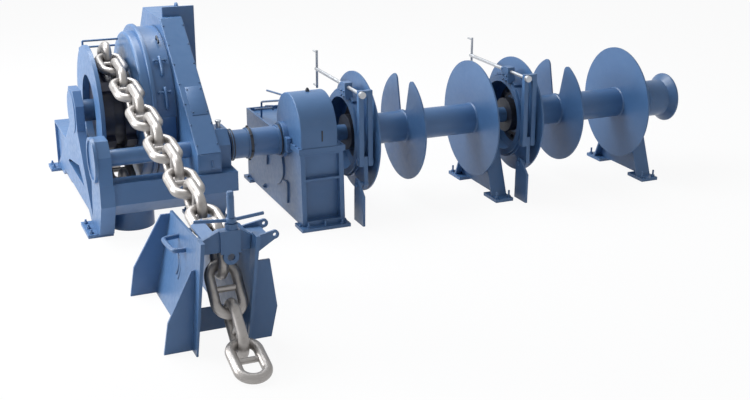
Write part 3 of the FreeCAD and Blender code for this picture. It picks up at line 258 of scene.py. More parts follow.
def copies(model, spots):
    """Copies of a model at places, each turned to stand along its axis, as one piece."""
    made = []
    for place, axis in spots:
        copy = model.copy()
        copy.data = model.data.copy()
        bpy.context.collection.objects.link(copy)
        copy.location = Vector(place)
        copy.rotation_euler = along(axis)
        made.append(copy)
    bpy.data.objects.remove(model)
    return joined(made)


def nut_at(place, axis, radius, stud=0.0):
    """One nut at a place."""
    return copies(nut(radius, stud), [(place, axis)])


def grid_spots(columns, rows, height):
    """Places where columns along X meet rows along Y, all facing up."""
    return [((column, row, height), UP) for column in columns for row in rows]


def circle_spots(centre, axis, radius, count, first=0.0):
    """Places round a circle, all facing along its axis."""
    turned = Vector(axis).to_track_quat("Z", "Y")
    spots = []
    for i in range(count):
        angle = first + 2 * math.pi * i / count
        offset = turned @ Vector((math.cos(angle) * radius, math.sin(angle) * radius, 0))
        spots.append((Vector(centre) + offset, axis))
    return spots


def around_spots(centre, axis, radius, count, first=0.0):
    """Places round a circle, all facing away from its axis."""
    turned = Vector(axis).to_track_quat("Z", "Y")
    spots = []
    for i in range(count):
        angle = first + 2 * math.pi * i / count
        outward = turned @ Vector((math.cos(angle), math.sin(angle), 0))
        spots.append((Vector(centre) + outward * radius, outward))
    return spots


def arc_plate(left, right, near, far, first, last, centre, steps=24):
    """Curved plate round the X axis through centre, between two radii and two angles from the front."""
    deselect()
    bpy.ops.mesh.primitive_plane_add(size=1)
    strip = bpy.context.object
    strip.scale = (right - left, far - near, 1)
    apply_place(strip)
    strip.location = ((left + right) / 2, -(near + far) / 2, 0)
    apply_place(strip)
    strip.rotation_euler = (-math.radians(first), 0, 0)
    apply_place(strip)
    pick(strip, lambda face: True)
    bpy.ops.mesh.delete(type="ONLY_FACE")
    bpy.ops.mesh.select_mode(type="EDGE")
    bpy.ops.mesh.select_all(action="SELECT")
    bpy.ops.mesh.spin(steps=steps, angle=math.radians(last - first), center=(0, 0, 0), axis=(-1, 0, 0))
    bpy.ops.mesh.select_all(action="SELECT")
    bpy.ops.mesh.fill_holes(sides=4)
    leave_edit()
    strip.location = centre
    apply_place(strip)
    turn_outward(strip)
    return strip


# Shader groups

def group(name, takes, gives):
    """Empty shader group with its sockets."""
    tree = bpy.data.node_groups.new(name, "ShaderNodeTree")
    for label, kind, value in takes:
        socket = tree.interface.new_socket(name=label, in_out="INPUT", socket_type=kind)
        if value is not None:
            socket.default_value = value
    for label, kind in gives:
        tree.interface.new_socket(name=label, in_out="OUTPUT", socket_type=kind)
    entry = tree.nodes.new("NodeGroupInput")
    leave = tree.nodes.new("NodeGroupOutput")
    return tree, entry.outputs, leave.inputs


def wire(tree, source, target):
    """Link of two sockets, or a plain value for the target."""
    if isinstance(source, bpy.types.NodeSocket):
        tree.links.new(source, target)
    else:
        target.default_value = source


def noise(tree, vector, scale, detail, roughness=0.55):
    """Noise value over a surface."""
    made = tree.nodes.new("ShaderNodeTexNoise")
    wire(tree, vector, made.inputs["Vector"])
    wire(tree, scale, made.inputs["Scale"])
    made.inputs["Detail"].default_value = detail
    made.inputs["Roughness"].default_value = roughness
    return made.outputs["Fac"]


def remap(tree, value, low, high, to_low=0.0, to_high=1.0):
    """Value moved smoothly from one range to another."""
    made = tree.nodes.new("ShaderNodeMapRange")
    made.interpolation_type = "SMOOTHSTEP"
    wire(tree, value, made.inputs["Value"])
    wire(tree, low, made.inputs["From Min"])
    wire(tree, high, made.inputs["From Max"])
    wire(tree, to_low, made.inputs["To Min"])
    wire(tree, to_high, made.inputs["To Max"])
    return made.outputs["Result"]


def maths(tree, kind, first, second):
    """Result of one operation on two values."""
    made = tree.nodes.new("ShaderNodeMath")
    made.operation = kind
    wire(tree, first, made.inputs[0])
    wire(tree, second, made.inputs[1])
    return made.outputs["Value"]


def blend(tree, share, first, second):
    """Mix of two colours."""
    made = tree.nodes.new("ShaderNodeMix")
    made.data_type = "RGBA"
    wire(tree, share, made.inputs["Factor"])
    colours = [socket for socket in made.inputs if socket.type == "RGBA"]
    wire(tree, first, colours[0])
    wire(tree, second, colours[1])
    return [socket for socket in made.outputs if socket.type == "RGBA"][0]


def seen_directly(tree):
    """One for rays from the camera, from mirrors and through glass, and nought for the rest."""
    path = tree.nodes.new("ShaderNodeLightPath")
    bounced = maths(tree, "MAXIMUM", path.outputs["Is Glossy Ray"], path.outputs["Is Transmission Ray"])
    return maths(tree, "MAXIMUM", path.outputs["Is Camera Ray"], bounced)


def make_edge_group():
    """Rounded edge normal, and a mask of the edges that stand out."""
    tree, entry, leave = group("rounded_edges", [("Radius", "NodeSocketFloat", 0.006)],
                               [("Normal", "NodeSocketVector"), ("Edge", "NodeSocketFloat")])
    bevel = tree.nodes.new("ShaderNodeBevel")
    bevel.samples = 4
    wire(tree, entry["Radius"], bevel.inputs["Radius"])
    surface = tree.nodes.new("ShaderNodeNewGeometry")
    compare = tree.nodes.new("ShaderNodeVectorMath")
    compare.operation = "DOT_PRODUCT"
    wire(tree, bevel.outputs["Normal"], compare.inputs[0])
    wire(tree, surface.outputs["Normal"], compare.inputs[1])
    wire(tree, bevel.outputs["Normal"], leave["Normal"])
    wire(tree, remap(tree, compare.outputs["Value"], 0.995, 0.8), leave["Edge"])
    return tree


def make_film_group():
    """Brushed deck paint: tone, dust, edges lightened partly as worn paint and partly as a painted
    highlight, chips on the edges and the orange peel of the film.
    """
    tree, entry, leave = group(
        "paint_film",
        [("Vector", "NodeSocketVector", None), ("Edge", "NodeSocketFloat", 0.0),
         ("Paint", "NodeSocketColor", (0.05, 0.12, 0.28, 1)),
         ("Faded", "NodeSocketColor", (0.09, 0.17, 0.33, 1)),
         ("Chip", "NodeSocketColor", (0.3, 0.33, 0.37, 1)), ("Wear", "NodeSocketFloat", 0.5)],
        [("Colour", "NodeSocketColor"), ("Roughness", "NodeSocketFloat"), ("Height", "NodeSocketFloat")])
    spot = entry["Vector"]
    broad = remap(tree, noise(tree, spot, scale=1.1, detail=3), 0.35, 0.68)
    blotch = remap(tree, noise(tree, spot, scale=7.0, detail=6, roughness=0.62), 0.45, 0.75)
    colour = blend(tree, maths(tree, "MULTIPLY", broad, 0.55), entry["Paint"], entry["Faded"])
    colour = blend(tree, maths(tree, "MULTIPLY", blotch, 0.22), colour, entry["Faded"])
    # Edges blend towards the paler colour: partly worn paint, partly a painted highlight along every edge.
    wear_and_highlight_noise = remap(tree, noise(tree, spot, scale=9.0, detail=5), 0.3, 0.6)
    worn_and_highlit_edges = maths(tree, "MULTIPLY", entry["Edge"], wear_and_highlight_noise)
    colour = blend(tree, maths(tree, "MULTIPLY", worn_and_highlit_edges, 0.45), colour, entry["Faded"])
    flakes = remap(tree, noise(tree, spot, scale=38.0, detail=8, roughness=0.7), 0.55, 0.62)
    chips = maths(tree, "MULTIPLY", maths(tree, "MULTIPLY", entry["Edge"], flakes), entry["Wear"])
    colour = blend(tree, chips, colour, entry["Chip"])
    wire(tree, colour, leave["Colour"])
    sheen = remap(tree, noise(tree, spot, scale=16.0, detail=4), 0.3, 0.7, to_low=0.3, to_high=0.42)
    wire(tree, maths(tree, "ADD", sheen, maths(tree, "MULTIPLY", chips, 0.25)), leave["Roughness"])
    peel = maths(tree, "MULTIPLY", noise(tree, spot, scale=260.0, detail=2), 0.12)
    sags = maths(tree, "MULTIPLY", noise(tree, spot, scale=14.0, detail=3), 0.5)
    film = maths(tree, "ADD", peel, sags)
    wire(tree, maths(tree, "SUBTRACT", film, maths(tree, "MULTIPLY", chips, 0.6)), leave["Height"])
    return tree


def make_forge_group():
    """Forged steel: scale, worn bright patches and hammered unevenness."""
    tree, entry, leave = group(
        "forged_steel",
        [("Vector", "NodeSocketVector", None), ("Bright", "NodeSocketColor", (0.6, 0.58, 0.55, 1)),
         ("Scale colour", "NodeSocketColor", (0.3, 0.27, 0.24, 1)), ("Grain", "NodeSocketFloat", 30.0)],
        [("Colour", "NodeSocketColor"), ("Roughness", "NodeSocketFloat"), ("Height", "NodeSocketFloat")])
    spot = entry["Vector"]
    scale_mask = remap(tree, noise(tree, spot, scale=5.0, detail=6, roughness=0.6), 0.48, 0.78)
    pits = remap(tree, noise(tree, spot, scale=entry["Grain"], detail=6, roughness=0.65), 0.58, 0.72)
    colour = blend(tree, maths(tree, "MULTIPLY", scale_mask, 0.55), entry["Bright"], entry["Scale colour"])
    colour = blend(tree, maths(tree, "MULTIPLY", pits, 0.4), colour, entry["Scale colour"])
    wire(tree, colour, leave["Colour"])
    sheen = remap(tree, noise(tree, spot, scale=11.0, detail=4), 0.3, 0.7, to_low=0.34, to_high=0.46)
    wire(tree, maths(tree, "ADD", sheen, maths(tree, "MULTIPLY", pits, 0.2)), leave["Roughness"])
    hammered = maths(tree, "MULTIPLY", noise(tree, spot, scale=12.0, detail=4), 0.8)
    wire(tree, maths(tree, "SUBTRACT", hammered, maths(tree, "MULTIPLY", pits, 0.25)), leave["Height"])
    return tree


EDGES = make_edge_group()
FILM = make_film_group()
FORGE = make_forge_group()


# Materials

def blank_material(name):
    """Material with only its surface shader, and the object's own coordinates."""
    made = bpy.data.materials.new(name)
    made.use_nodes = True
    tree = made.node_tree
    shader = tree.nodes["Principled BSDF"]
    spot = tree.nodes.new("ShaderNodeTexCoord").outputs["Object"]
    return made, tree, shader, spot


def use(tree, kind, **values):
    """Shader group placed in a material with its values."""
    made = tree.nodes.new("ShaderNodeGroup")
    made.node_tree = kind
    for label, value in values.items():
        wire(tree, value, made.inputs[label.replace("_", " ")])
    return made.outputs


def bump(tree, height, strength, depth, normal=None):
    """Bumped normal."""
    made = tree.nodes.new("ShaderNodeBump")
    made.inputs["Strength"].default_value = strength
    made.inputs["Distance"].default_value = depth
    wire(tree, height, made.inputs["Height"])
    if normal:
        wire(tree, normal, made.inputs["Normal"])
    return made.outputs["Normal"]


def paint(name, body, faded, chip=(0.33, 0.36, 0.4, 1), wear=0.35, radius=0.007):
    """Deck paint on welded plate or casting."""
    made, tree, shader, spot = blank_material(name)
    edges = use(tree, EDGES, Radius=radius)
    film = use(tree, FILM, Vector=spot, Edge=edges["Edge"], Paint=body, Faded=faded, Chip=chip, Wear=wear)
    wire(tree, film["Colour"], shader.inputs["Base Color"])
    wire(tree, film["Roughness"], shader.inputs["Roughness"])
    wire(tree, bump(tree, film["Height"], 0.25, 0.002, edges["Normal"]), shader.inputs["Normal"])
    shader.inputs["Specular IOR Level"].default_value = 0.5
    return made


def steel(name, bright, scale_colour, grain, metal=0.9, relief=0.4):
    """Bare forged or cast steel."""
    made, tree, shader, spot = blank_material(name)
    edges = use(tree, EDGES, Radius=0.005)
    forged = use(tree, FORGE, Vector=spot, Bright=bright, Scale_colour=scale_colour, Grain=grain)
    wire(tree, forged["Colour"], shader.inputs["Base Color"])
    wire(tree, forged["Roughness"], shader.inputs["Roughness"])
    wire(tree, bump(tree, forged["Height"], relief, 0.004, edges["Normal"]), shader.inputs["Normal"])
    shader.inputs["Metallic"].default_value = metal
    return made


BLUE = (0.06, 0.142, 0.3, 1)
BLUE_FADED = (0.088, 0.185, 0.36, 1)
# A darker copy of the deck blue, which paints shade onto the pieces that wear it.
SHADE_BLUE = (0.05, 0.112, 0.228, 1)
SHADE_BLUE_FADED = (0.068, 0.142, 0.275, 1)
# A near-black copy of the deck blue for the chain wheel: painted shade on the wheel body behind the chain.
WHEEL_SHADE = (0.02, 0.024, 0.046, 1)
WHEEL_SHADE_FADED = (0.03, 0.036, 0.064, 1)

deck_paint = paint("deck_paint", BLUE, BLUE_FADED)
plate_paint = paint("plate_paint", BLUE, BLUE_FADED, wear=0.5, radius=0.004)
casting_paint = paint("casting_paint", BLUE, BLUE_FADED, wear=0.25, radius=0.01)
drum_paint = paint("drum_paint", BLUE, BLUE_FADED, wear=0.6, radius=0.004)
# Deck paint in the darker copy of the blue: painted shade.
shade_blue_paint = paint("shade_blue_paint", SHADE_BLUE, SHADE_BLUE_FADED, wear=0.2)
wheel_shade_paint = paint("wheel_shade_paint", WHEEL_SHADE, WHEEL_SHADE_FADED, wear=0.15)
pale_fitting = steel("pale_fitting", (0.5, 0.53, 0.56, 1), (0.3, 0.32, 0.35, 1),
                     grain=70.0, metal=0.6, relief=0.2)
chain_steel = steel("chain_steel", (0.4, 0.38, 0.365, 1), (0.15, 0.13, 0.118, 1),
                    grain=34.0, metal=0.7, relief=0.5)
screw_steel = steel("screw_steel", (0.5, 0.52, 0.55, 1), (0.24, 0.24, 0.26, 1),
                    grain=80.0, metal=0.85, relief=0.2)
clutch_iron = steel("clutch_iron", (0.05, 0.056, 0.072, 1), (0.02, 0.022, 0.028, 1),
                    grain=50.0, metal=0.5, relief=0.5)
# Dark steel; on the band case hatch rim and the gearbox cover strap it stands in as painted shade.
dark_band = steel("dark_band", (0.03, 0.036, 0.048, 1), (0.012, 0.013, 0.016, 1),
                  grain=60.0, metal=0.3, relief=0.3)

FINISHES = {
    "anchor_chain": chain_steel,
    "clutch_ring_1": clutch_iron,
    "clutch_ring_2": clutch_iron,
    "stopper_screw": deck_paint,
    "brake_1_spindle": screw_steel,
    "brake_2_spindle": screw_steel,
    "gear_case_cover": casting_paint,
    "gear_case_body": casting_paint,
    "gearbox_cover": casting_paint,
    "gearbox_body": casting_paint,
    "brake_band_case": casting_paint,
    # The chain wheel's near-black paint is painted shade.
    "chain_wheel": wheel_shade_paint,
    "warping_head": casting_paint,
}


def finish_of(node):
    """Finish of a node that the list doesn't name."""
    if node.startswith("drum_"):
        return drum_paint
    if node.startswith("stopper_") or node.endswith("_frame") or node.endswith("_pedestal"):
        return plate_paint
    return deck_paint


for node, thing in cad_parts.items():
    material = FINISHES.get(node, finish_of(node))
    if not thing.material_slots:
        thing.data.materials.append(material)
    for holder in thing.material_slots:
        holder.material = material


# Shaft line

def dress_sleeve():
    """Dark bolted bands on the coupling sleeve's rings."""
    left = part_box("coupling_sleeve")[0][0]
    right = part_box("coupling_sleeve")[1][0]
    radius = 0.2
    margin = 0.003
    end_width = 0.022
    joint = left + 0.25
    joint_width = 0.044
    bands = [(left, 0.02), (left + 0.03, 0.02), (joint, joint_width), (right - end_width, end_width)]
    parts = []
    for start, width in bands:
        place = (start + margin, 0, SHAFT_HEIGHT)
        length = width - 2 * margin
        parts.append(ring(place, RIGHT, outer=radius + 0.007, inner=radius - 0.002, length=length))
    settle(joined(parts), "sleeve_bands", SHAFT, dark_band)
    middle = (joint + joint_width / 2, 0, SHAFT_HEIGHT)
    spots = around_spots(middle, RIGHT, radius + 0.005, count=6, first=0.3)
    settle(copies(nut(0.017), spots), "sleeve_bolts", SHAFT, dark_band, 0)


def dress_warping_head():
    """End ring and bolts in the hollow of the warping head."""
    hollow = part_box("warping_head")[1][0] - 0.04
    thick = 0.016
    cap = ring((hollow, 0, SHAFT_HEIGHT), RIGHT, outer=0.19, inner=0.106, length=thick)
    settle(cap, "warping_head_ring", SHAFT, casting_paint)
    spots = circle_spots((hollow + thick, 0, SHAFT_HEIGHT), RIGHT, radius=0.15, count=6)
    settle(copies(nut(0.014), spots), "warping_head_bolts", SHAFT, casting_paint, 0)


def weld_ring(centre, axis, radius, size):
    """Fillet weld round a joint: a ring with a three-sided section."""
    direction = Vector(axis)
    deselect()
    bpy.ops.mesh.primitive_cone_add(vertices=72, radius1=radius + size, radius2=radius, depth=size,
                                    end_fill_type="NOTHING")
    bead = bpy.context.object
    bead.rotation_euler = along(axis)
    bead.location = Vector(centre) + direction * (size / 2)
    apply_place(bead)
    wall = bead.modifiers.new("bead_wall", "SOLIDIFY")
    wall.thickness = size * 0.4
    wall.offset = -1
    only(bead)
    bpy.ops.object.modifier_apply(modifier=wall.name)
    turn_outward(bead)
    return bead


def dress_drum(count):
    """Welds where the plates meet the barrel, the bolts inside the brake rim, and a thin near-black ring on
    the rim's face that paints the shade inside it.
    """
    body = "drum_%d_body" % count
    name = "drum_%d_" % count
    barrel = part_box(name + "barrel")
    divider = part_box(name + "divider")
    radius = (barrel[1][2] - barrel[0][2]) / 2
    joints = ((barrel[0][0], RIGHT), (divider[0][0], LEFT), (divider[1][0], RIGHT), (barrel[1][0], LEFT))
    weld = 0.014
    beads = [weld_ring((start, 0, SHAFT_HEIGHT), axis, radius, weld) for start, axis in joints]
    settle(joined(beads), name + "welds", body, drum_paint, 0)
    face = (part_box(name + "brake_flange")[0][0], 0, SHAFT_HEIGHT)
    spots = circle_spots(face, LEFT, radius=0.33, count=12)
    settle(copies(nut(0.026, stud=0.01), spots), name + "hub_bolts", body, clutch_iron, 0)
    # A thin near-black ring on the brake flange's face paints the shade inside the brake rim, and the bolts
    # there share its near-black iron.
    hub = ring(face, LEFT, outer=0.40, inner=0.27, length=0.004)
    settle(hub, name + "hub_shade_ring", body, clutch_iron, 0.001)


# Band brakes

def dress_brake(count):
    """Bracket bolts, spindle collar and pin washers of one band brake."""
    name = "brake_%d_" % count
    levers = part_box(name + "levers")
    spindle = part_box(name + "spindle")
    middle = (spindle[0][0] + spindle[1][0]) / 2
    height = (spindle[0][2] + spindle[1][2]) / 2
    bracket_half = 0.052
    spots = []
    for front in (-0.2, -0.11):
        for up in (1.57, 1.635):
            spots.append(((middle - bracket_half, front, up), LEFT))
            spots.append(((middle + bracket_half, front, up), RIGHT))
    settle(copies(nut(0.013), spots), name + "bracket_bolts", DECK, deck_paint, 0)
    collar = ring((middle, -0.036, height), (0, 1, 0), outer=0.038, inner=0.0245, length=0.03, sides=32)
    settle(collar, name + "spindle_collar", "brake_%d_screw" % count, deck_paint, 0.002)
    pin_height = 0.8
    pin_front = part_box(name + "band")[0][1] + 0.045
    sunk = 0.012
    thick = 0.01
    washers = []
    for start, side in ((levers[0][0] + sunk, -1), (levers[1][0] - sunk, 1)):
        end = start + side * thick
        washers.append(rod((start, pin_front, pin_height), (end, pin_front, pin_height), 0.048, 32))
    settle(joined(washers), name + "pin_washers", DECK, deck_paint, 0.002)


# Pedestals and feet

def dress_pedestal(node):
    """Cap nuts, foot studs and lubricating nipple of a pedestal."""
    low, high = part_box(node)
    middle = (low[0] + high[0]) / 2
    cap_side = 0.07
    cap_front = 0.218
    foot_side = 0.095
    foot_front = 0.66
    spots = grid_spots((middle - cap_side, middle + cap_side), (-cap_front, cap_front), SHAFT_HEIGHT + 0.032)
    settle(copies(nut(0.02, stud=0.012), spots), node + "_cap_nuts", DECK, deck_paint, 0)
    spots = grid_spots((middle - foot_side, middle + foot_side), (-foot_front, foot_front), FOOT_TOP)
    settle(copies(nut(0.026, stud=0.06), spots), node + "_foot_studs", DECK, deck_paint, 0)
    oiler = rod((middle, 0, high[2] - 0.01), (middle, 0, high[2] + 0.03), radius=0.014, sides=16)
    settle(oiler, node + "_oiler", DECK, screw_steel, 0)


def dress_feet():
    """Studs on the foot plates of gearbox, frame and gear case."""
    middle = (GEARBOX_LEFT + GEARBOX_RIGHT) / 2
    end_in = 0.06
    side_out = 0.021
    spots = grid_spots((GEARBOX_LEFT + end_in, middle, GEARBOX_RIGHT - end_in), (-0.752, 1.652), FOOT_TOP)
    settle(copies(nut(0.024, stud=0.035), spots), "gearbox_foot_studs", DECK, deck_paint, 0)
    spots = grid_spots((GEARBOX_LEFT - side_out, GEARBOX_RIGHT + side_out), (-0.66, 1.55), FOOT_TOP)
    settle(copies(nut(0.015, stud=0.01), spots), "gearbox_side_studs", DECK, deck_paint, 0)
    frame_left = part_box("windlass_frame")[0][0]
    spots = grid_spots((frame_left + 0.05,), (0.11, 0.3, 0.5, 3.1, 3.26), FOOT_TOP)
    spots += grid_spots((frame_left + 0.29,), (0.52,), FOOT_TOP)
    settle(copies(nut(0.027, stud=0.02), spots), "frame_foot_studs", DECK, deck_paint, 0)
    low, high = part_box("gear_case_base")
    edge_in = 0.03
    spots = grid_spots((low[0] + edge_in, high[0] - edge_in), (0.03, 0.51, 2.16, 2.66), FOOT_TOP)
    settle(copies(nut(0.02, stud=0.02), spots), "gear_case_foot_studs", DECK, deck_paint, 0)


# Gearbox

def dress_gearbox():
    """Joint bolts, cover strap, plug, control rods and the fittings on the left side."""
    low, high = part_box("gearbox_cover")
    end_in = 0.05
    pairs = 8
    spots = []
    for i in range(pairs):
        front = low[1] + end_in + (high[1] - low[1] - 2 * end_in) * i / (pairs - 1)
        spots.append(((GEARBOX_LEFT - 0.008, front, GEARBOX_TOP), UP))
        spots.append(((GEARBOX_RIGHT - 0.015, front, GEARBOX_TOP), UP))
    settle(copies(nut(0.011), spots), "gearbox_joint_bolts", DECK, casting_paint, 0)
    middle = (low[0] + high[0]) / 2
    # The strap is in dark steel so that it shows as a dark line: painted shade along its shaded side.
    strap = arc_plate(middle + 0.03, middle + 0.048, COVER_RADIUS - 0.003, COVER_RADIUS + 0.006,
                      first=8, last=172, centre=(0, COVER_MIDDLE, COVER_TOP - COVER_RADIUS), steps=40)
    settle(strap, "gearbox_cover_strap", DECK, dark_band, 0.001)
    plug_x = middle + 0.02
    plug = rod((plug_x, COVER_MIDDLE, COVER_TOP - 0.01), (plug_x, COVER_MIDDLE, COVER_TOP + 0.028), 0.026)
    plug_nut = nut_at((plug_x, COVER_MIDDLE, COVER_TOP + 0.024), UP, 0.018)
    settle(joined([plug, plug_nut]), "gearbox_filler_plug", DECK, dark_band, 0)
    far = GEARBOX_LEFT + 0.318
    near = GEARBOX_LEFT + 0.07
    bent_rod = [(near, 0.2, 1.49), (near, 1.107, 1.258), (near, 1.127, 1.03), (near, 1.3, TRAY_FLOOR + 0.01)]
    short_link = [(near, 0.938, 1.2), (near, 0.933, 1.242), (near, 0.607, 1.32), (near, 0.611, 1.26)]
    rods = [
        rod((far, 0.15, 1.473), (far, 1.62, 1.279), radius=0.014),
        bent_bar(bent_rod, radius=0.014, order=2),
        bent_bar(short_link, radius=0.011, order=2),
        rod((near, 0.6, 1.3), (near, 1.417, 1.079), radius=0.012),
    ]
    settle(joined(rods), "gearbox_control_rods", DECK, deck_paint, 0)
    side = GEARBOX_LEFT - 0.008
    gauge = [(side, 0.665, 0.63), (side, 0.68, 0.49)]
    upper_pipe = [(side, 0.06, 0.8), (side, -0.02, 0.66), (side, 0.03, 0.45), (side, 0.24, 0.345)]
    lower_pipe = [(side, 0.02, 0.45), (side, -0.15, 0.5), (side, -0.17, 0.42), (side, -0.145, 0.2)]
    fittings = [
        bent_bar(gauge, radius=0.014, order=2),
        bent_bar(upper_pipe, radius=0.012),
        bent_bar(lower_pipe, radius=0.016),
        nut_at((GEARBOX_LEFT, 0.82, 0.134), LEFT, 0.03),
    ]
    # The side fittings wear the darker blue as painted shade.
    settle(joined(fittings), "gearbox_side_fittings", DECK, shade_blue_paint, 0)


# Windlass

def dress_bearings():
    """Grease cup on top of the right shaft bearing."""
    low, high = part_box("shaft_right_bearing")
    middle = (low[0] + high[0]) / 2
    stem = rod((middle, 0, high[2] - 0.02), (middle, 0, high[2] + 0.07), radius=0.03, sides=24)
    lid = rod((middle, 0, high[2] + 0.068), (middle, 0, high[2] + 0.095), radius=0.04, sides=24)
    settle(joined([stem, lid]), "bearing_grease_cup", DECK, pale_fitting, 0.002)


def case_point(x, angle, radius):
    """Point round the band case, with the angle taken from its front."""
    turned = math.radians(angle)
    return Vector((x, CASE_FRONT - radius * math.cos(turned), CASE_HEIGHT + radius * math.sin(turned)))


def dress_band_case():
    """Hatch with a dark rim round it that paints the shade along its edges, its clasps, the seam round the
    band case, and its handle.
    """
    slot = "brake_band_case"
    low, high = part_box(slot)
    centre = (0, CASE_FRONT, CASE_HEIGHT)
    sunk = 0.004
    case_skin = CASE_RADIUS - sunk
    hatch_top = CASE_RADIUS + 0.024
    left = low[0] + 0.075
    right = high[0] - 0.035
    first = 4
    last = 57
    hatch = arc_plate(left, right, case_skin, hatch_top, first, last, centre)
    settle(hatch, "band_case_hatch", DECK, casting_paint, 0.004)
    # A dark plate, a little larger than the hatch and sunk under it, shows as painted shade along the
    # hatch's edges.
    lap = 0.012
    lap_angle = 0.6
    joint = arc_plate(left - lap, right + lap, case_skin, CASE_RADIUS + 0.005, first - lap_angle,
                      last + lap_angle, centre)
    settle(joint, "band_case_hatch_shade_rim", DECK, dark_band, 0)

    x = (left + right) / 2
    root = hatch_top - sunk
    outer = hatch_top + 0.034
    half_angle = 7
    hinge_angle = 4
    hinge_half = 0.075
    knuckle_half = 0.07
    parts = []
    for angle in (40, 17):
        clasp = [case_point(x, angle + half_angle, root), case_point(x, angle + half_angle, outer),
                 case_point(x, angle, outer + 0.012), case_point(x, angle - half_angle, outer),
                 case_point(x, angle - half_angle, root)]
        parts.append(bent_bar(clasp, radius=0.019))
        hinge = angle + hinge_angle
        parts.append(rod(case_point(x - hinge_half, hinge, root + 0.016),
                         case_point(x + hinge_half, hinge, root + 0.016), 0.014))
        for side in (-knuckle_half, knuckle_half):
            foot = case_point(x + side, hinge, root)
            head = case_point(x + side, hinge, root + 0.04)
            parts.append(rod(foot, head, 0.02))
    settle(joined(parts), "band_case_clasps", DECK, deck_paint, 0)

    seam = ring((high[0] - 0.022, CASE_FRONT, CASE_HEIGHT), RIGHT,
                outer=CASE_RADIUS + 0.008, inner=case_skin, length=0.012, sides=160)
    # The seam wears the darker blue as painted shade.
    settle(seam, "band_case_seam", DECK, shade_blue_paint, 0)
    grip = high[0] - 0.09
    top_angle = 66
    low_angle = 60
    grip_out = hatch_top + 0.03
    bow = [case_point(grip, top_angle, case_skin), case_point(grip, top_angle, grip_out),
           case_point(grip, low_angle, grip_out), case_point(grip, low_angle, root)]
    settle(bent_bar(bow, radius=0.012, order=2), "band_case_handle", DECK, dark_band, 0)


def cover_point(x, share, rise):
    """Point over the gear cover's slanted face: share 0 is its lower end and 1 its upper end."""
    low = Vector((x, *SLOPE_LOW))
    high = Vector((x, *SLOPE_HIGH))
    slope = (high - low).normalized()
    outward = Vector((0, -slope.z, slope.y))
    return low + (high - low) * share + outward * rise


def slope_plate(left, right, first, last, thick):
    """Plate lying on the gear cover's slanted face."""
    length = (cover_point(0, last, 0) - cover_point(0, first, 0)).length
    slab = plate((left, -thick / 2, -length / 2), (right, thick / 2, length / 2))
    lean = math.atan2(SLOPE_HIGH[1] - SLOPE_LOW[1], SLOPE_HIGH[0] - SLOPE_LOW[0])
    slab.rotation_euler = (-(math.pi / 2 - lean), 0, 0)
    slab.location = cover_point(0, (first + last) / 2, 0)
    return slab


def dress_gear_case():
    """Inspection plates, bolts, handle, lifting lug and ribs of the gear case."""
    slot = "gear_case_cover"
    low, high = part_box(slot)
    door_thick = 0.012
    door = slope_plate(low[0] + 0.07, high[0] - 0.012, 0.27, 0.475, door_thick)
    settle(door, "gear_cover_door", DECK, casting_paint, 0.002)
    outward = cover_point(0, 0, 1) - cover_point(0, 0, 0)
    spots = []
    for share in (0.29, 0.455):
        for x in (low[0] + 0.09, high[0] - 0.032):
            spots.append((cover_point(x, share, door_thick / 2), outward))
    edge_in = 0.02
    pairs = 7
    for i in range(pairs):
        share = 0.06 + 0.88 * i / (pairs - 1)
        spots.append((cover_point(low[0] + edge_in, share, 0), outward))
        spots.append((cover_point(high[0] - edge_in, share, 0), outward))
    settle(copies(nut(0.009), spots), "gear_cover_bolts", DECK, casting_paint, 0)

    front = low[1] + 0.008
    side_in = 0.012
    door = plate((low[0] + side_in, front - 0.018, 0.86), (high[0] - side_in, front + 0.004, 1.06))
    grip = -4.0
    root = front - 0.012
    out = front - 0.045
    bow = [(grip, root, 0.97), (grip, out, 0.965), (grip, out, 0.895), (grip, root, 0.89)]
    handle = bent_bar(bow, radius=0.008)
    settle(joined([door, handle]), "gear_cover_front_door", DECK, casting_paint, 0.002)

    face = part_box("gear_case_body")[1][0]
    lug = ring((face - 0.12, 1.9, 2.5), RIGHT, outer=0.06, inner=0.026, length=0.03, sides=32)
    settle(lug, "gear_case_lifting_lug", DECK, deck_paint, 0.002)
    ribs = []
    for rib in (1.55, 2.05, 2.55):
        ribs.append(plate((face - 0.004, rib, 0.815), (face + 0.022, rib + 0.03, 1.88)))
    settle(joined(ribs), "gear_case_ribs", DECK, casting_paint, 0.003)


# Chain stopper

def dress_stopper():
    """Handle and bars on the stopper's left side plate, and the collar and cap on its screw."""
    bow = [(-4.95, -2.52, 0.87), (-5.12, -2.54, 0.87), (-5.14, -2.6, 0.87),
           (-5.12, -2.88, 0.865), (-5.09, -2.93, 0.865), (-4.93, -2.92, 0.865)]
    handle = bent_bar(bow, radius=0.026)
    brace = rod((-4.97, -2.92, 0.79), (-4.94, -2.92, 0.96), radius=0.016)
    settle(joined([handle, brace]), "stopper_handle", DECK, plate_paint, 0)
    bars = []
    for shift, low_end in ((0.0, 0.5), (-0.075, 0.47)):
        run = [(-4.995, -2.6 + shift, 0.72), (-5.0, -2.68 + shift, 0.66), (-5.02, -2.7 + shift, 0.57),
               (-5.035, -2.64 + shift, low_end)]
        bars.append(bent_bar(run, radius=0.011))
    # The side bars wear the darker blue as painted shade.
    settle(joined(bars), "stopper_side_bars", DECK, shade_blue_paint, 0)
    low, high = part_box("stopper_screw")
    x = (low[0] + high[0]) / 2
    front = -3.432
    collar = ring((x, front, 1.285), UP, outer=0.052, inner=0.0365, length=0.05, sides=32)
    settle(collar, "stopper_screw_collar", "stopper_screw_body", deck_paint, 0.003)
    cap = rod((x, front, high[2] - 0.03), (x, front, high[2] + 0.05), radius=0.034, sides=32)
    settle(cap, "stopper_screw_cap", "stopper_screw_body", deck_paint, 0)


